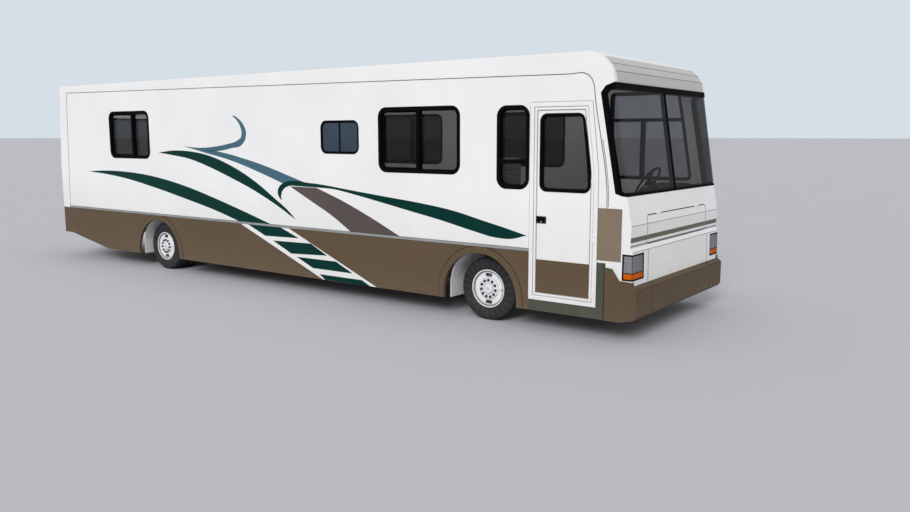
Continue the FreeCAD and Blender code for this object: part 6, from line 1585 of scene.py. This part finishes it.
def makeRockers(s):
    y0, y1 = s["covers"]
    x0, x1 = s["coverX"]
    low, high = s["topZ"], s["topZ"] + s["coverHigh"]
    covers, heads, ribs = [], [], []
    for a, b in ((-y1, -y0), (y0, y1)):
        covers.append(brick(x0, x1, a, b, low - 0.001, high, s["coverRound"], "z", 8))
        rib = a + s["ribInset"], b - s["ribInset"], high - 0.001, high + s["ribHigh"], 0.0015, "y"
        ribs += [brick(x - 0.004, x + 0.004, *rib)
                 for x in np.linspace(x0 + s["ribEnd"], x1 - s["ribEnd"], s["ribs"])]
        heads += [(x, y, low) for x in np.linspace(x0 + s["boltEnd"], x1 - s["boltEnd"], s["bolts"])
                  for y in (a - s["boltOut"], b + s["boltOut"])]
    addPiece("rockerCovers", joined(*covers, *ribs), "rockerBlue")
    bolt = turned(boltHead(*s["bolt"]), toZ)
    addPiece("rockerBolts", repeat(bolt, heads), "nutSteel", crease=25)
    # intake runners between the covers, under a plenum
    end, margin = s["runnerEnd"], s["plenumEnd"]
    routes = [smoothLine([(x, sign * y, low + z) for y, z in s["runner"]], 14)
              for x in np.linspace(x0 + end, x1 - end, s["runners"]) for sign in (-1, 1)]
    runners = [tube(route, s["runnerRadius"], (1, 0, 0), 14) for route in routes]
    half, foot, head = s["plenum"]
    plenum = brick(x0 + margin, x1 - margin, -half, half, low + foot, low + head, s["plenumRound"], "x", 8)
    addPiece("intake", joined(plenum, *runners), "castAlloy")
    filler = turned(roundCap(0.026, 0.018), toZ, (*s["filler"], high))
    addPiece("oilFiller", filler, "capYellow")


def makeEngine(s):
    # grooved pulleys on the engine's rear face, and the belt round three of them
    wheels = [turned(pulley(r), toX, (s["pulleyX"], y, z)) for y, z, r in s["pulleys"]]
    addPiece("pulleys", joined(*wheels), "castAlloy")
    belt = roundLoop(s["belt"], s["beltRound"], 12)
    out = unit(belt - belt.mean(0))
    band = sweep(atX(s["beltX"], belt), barSection(*s["beltBar"]), atX(0.0, out))
    addPiece("driveBelt", band, "hoseBlack")
    # air cleaner, coolant bottle and their hoses
    cleaner = turned(lathe(s["cleaner"], 40), toX, s["cleanerPlace"])
    addPiece("airCleaner", cleaner, "panelBlack")
    hose = tube(smoothLine(s["airHose"], 40), s["airRadius"], (0, 1, 0), 18)
    addPiece("airHose", hose, "hoseBlack")
    hose = tube(smoothLine(s["coolantHose"], 40), s["coolantRadius"], (0, 0, 1), 14)
    addPiece("coolantHose", hose, "hoseBlack")
    addPiece("coolantBottle", brick(*s["bottle"], 0.02, "z", 8), "tankAmber")
    cap = turned(roundCap(0.026, 0.024), toZ, s["bottleCap"])
    addPiece("coolantCap", cap, "panelBlack")


makeRockers(engineSet)
makeEngine(engineSet)
print("engine dressing made")


# behind the nose lid

noseSet = {
    "bottle": (5.306, 5.362, 0.30, 0.62, 1.03, 1.20), "capPlace": (5.334, 0.53, 1.20),
    "fuse": (5.302, 5.345, -0.50, -0.16, 1.07, 1.22),
    "ribX": (5.344, 5.348), "ribY": np.linspace(-0.47, -0.19, 8), "ribZ": (1.085, 1.205),
    "loom": [(5.315, 0.30, 1.10), (5.318, 0.20, 1.06), (5.320, 0.05, 1.05), (5.318, -0.08, 1.08),
             (5.318, -0.16, 1.12)], "loomRadius": 0.009,
}


def makeNoseBay(s):
    addPiece("washerBottle", brick(*s["bottle"], 0.018, "y", 8), "tankAmber")
    cap = turned(roundCap(0.022, 0.022), toZ, s["capPlace"])
    addPiece("washerCap", cap, "stripeBlue")
    addPiece("fuseBox", brick(*s["fuse"], 0.008, "y", 6), "panelBlack")
    ribs = [brick(*s["ribX"], y - 0.003, y + 0.003, *s["ribZ"], 0.0012, "z") for y in s["ribY"]]
    addPiece("fuseBoxRibs", joined(*ribs), "panelBlack")
    loom = tube(smoothLine(s["loom"], 50), s["loomRadius"], (1, 0, 0), 10)
    addPiece("noseLoom", loom, "hoseBlack")


makeNoseBay(noseSet)
print("nose bay made")


# studio

studio = {
    "floor": (196, 196, 203), "floorSize": 1600.0, "backdrop": (214, 222, 230), "fill": 0.62,
    "keyPower": 1.75, "keyAngle": 24, "keyFrom": (0.30, -0.80, 0.52),
    "cabinPower": 250.0, "cabinSize": (10.2, 1.6), "cabinPlace": (-0.2, 0.0, 2.88),
    "cameraPlace": (8.843, -8.894, 2.122), "cameraTurn": (81.6512, 0.0, 36.4185), "lens": 32.33,
}


# one wide plate, its top at z = 0: point(u, v) = (half u, half v, 0), u and v from -1 to 1
def makeFloor(s):
    x, y = np.meshgrid(np.linspace(-1, 1, 9), np.linspace(-1, 1, 9), indexing="ij")
    half = s["floorSize"] / 2
    verts, faces = plate(np.stack([x * half, y * half, 0 * x], -1), (0, 0, 0.05))
    mesh = bpy.data.meshes.new("studioFloor")
    mesh.from_pydata(verts.tolist(), [], np.concatenate(faces).tolist())
    mesh.update()
    floor = bpy.data.objects.new("studioFloor", mesh)
    bpy.context.scene.collection.objects.link(floor)
    finish, tree, shader = startFinish("studioFloor")
    tone = mixColour(tree, noise(tree, 0.6, 2.0), shade(*s["floor"]), shade(*[c * 0.985 for c in s["floor"]]))
    tree.links.new(tone, shader.inputs["Base Color"])
    shader.inputs["Roughness"].default_value = 0.9
    shader.inputs["Specular IOR Level"].default_value = 0.1
    mesh.materials.append(finish)


# a dim fill that lights the coach, and a brighter backdrop for what the camera sees or mirrors
def makeWorld(s):
    world = bpy.data.worlds.new("studioWorld")
    bpy.context.scene.world = world
    world.use_nodes = True
    tree = world.node_tree
    tree.nodes.clear()
    path = addNode(tree, "ShaderNodeLightPath")
    seen = math2(tree, "MAXIMUM", path.outputs["Is Camera Ray"], path.outputs["Is Glossy Ray"])
    seen = math2(tree, "MAXIMUM", seen, path.outputs["Is Transmission Ray"])
    fill = addNode(tree, "ShaderNodeBackground", {"Color": (1, 1, 1, 1), "Strength": s["fill"]})
    back = addNode(tree, "ShaderNodeBackground", {"Color": shade(*s["backdrop"]), "Strength": 1.0})
    mix = addNode(tree, "ShaderNodeMixShader", {0: seen, 1: fill.outputs[0], 2: back.outputs[0]})
    addNode(tree, "ShaderNodeOutputWorld", {"Surface": mix.outputs[0]})


def addToScene(name, data, place=(0, 0, 0), turn=(0, 0, 0)):
    thing = bpy.data.objects.new(name, data)
    thing.location, thing.rotation_euler = place, turn
    bpy.context.scene.collection.objects.link(thing)
    return thing


def makeLights(s):
    key = bpy.data.lights.new("keyLight", "SUN")
    key.energy, key.angle = s["keyPower"], math.radians(s["keyAngle"])
    addToScene("keyLight", key, turn=Vector(s["keyFrom"]).to_track_quat("Z", "Y").to_euler())
    cabin = bpy.data.lights.new("cabinLight", "AREA")
    cabin.shape = "RECTANGLE"
    cabin.size, cabin.size_y = s["cabinSize"]
    cabin.energy = s["cabinPower"]
    lamp = addToScene("cabinLight", cabin, s["cabinPlace"])
    lamp.visible_camera = lamp.visible_glossy = False


def makeCamera(s):
    camera = bpy.data.cameras.new("photoCamera")
    camera.sensor_width, camera.lens, camera.clip_end = 36.0, s["lens"], 3000.0
    turn = [math.radians(v) for v in s["cameraTurn"]]
    bpy.context.scene.camera = addToScene("photoCamera", camera, s["cameraPlace"], turn)
    bpy.context.scene.view_settings.view_transform = "Standard"


makeFloor(studio)
makeWorld(studio)
makeLights(studio)
makeCamera(studio)
print("studio made")
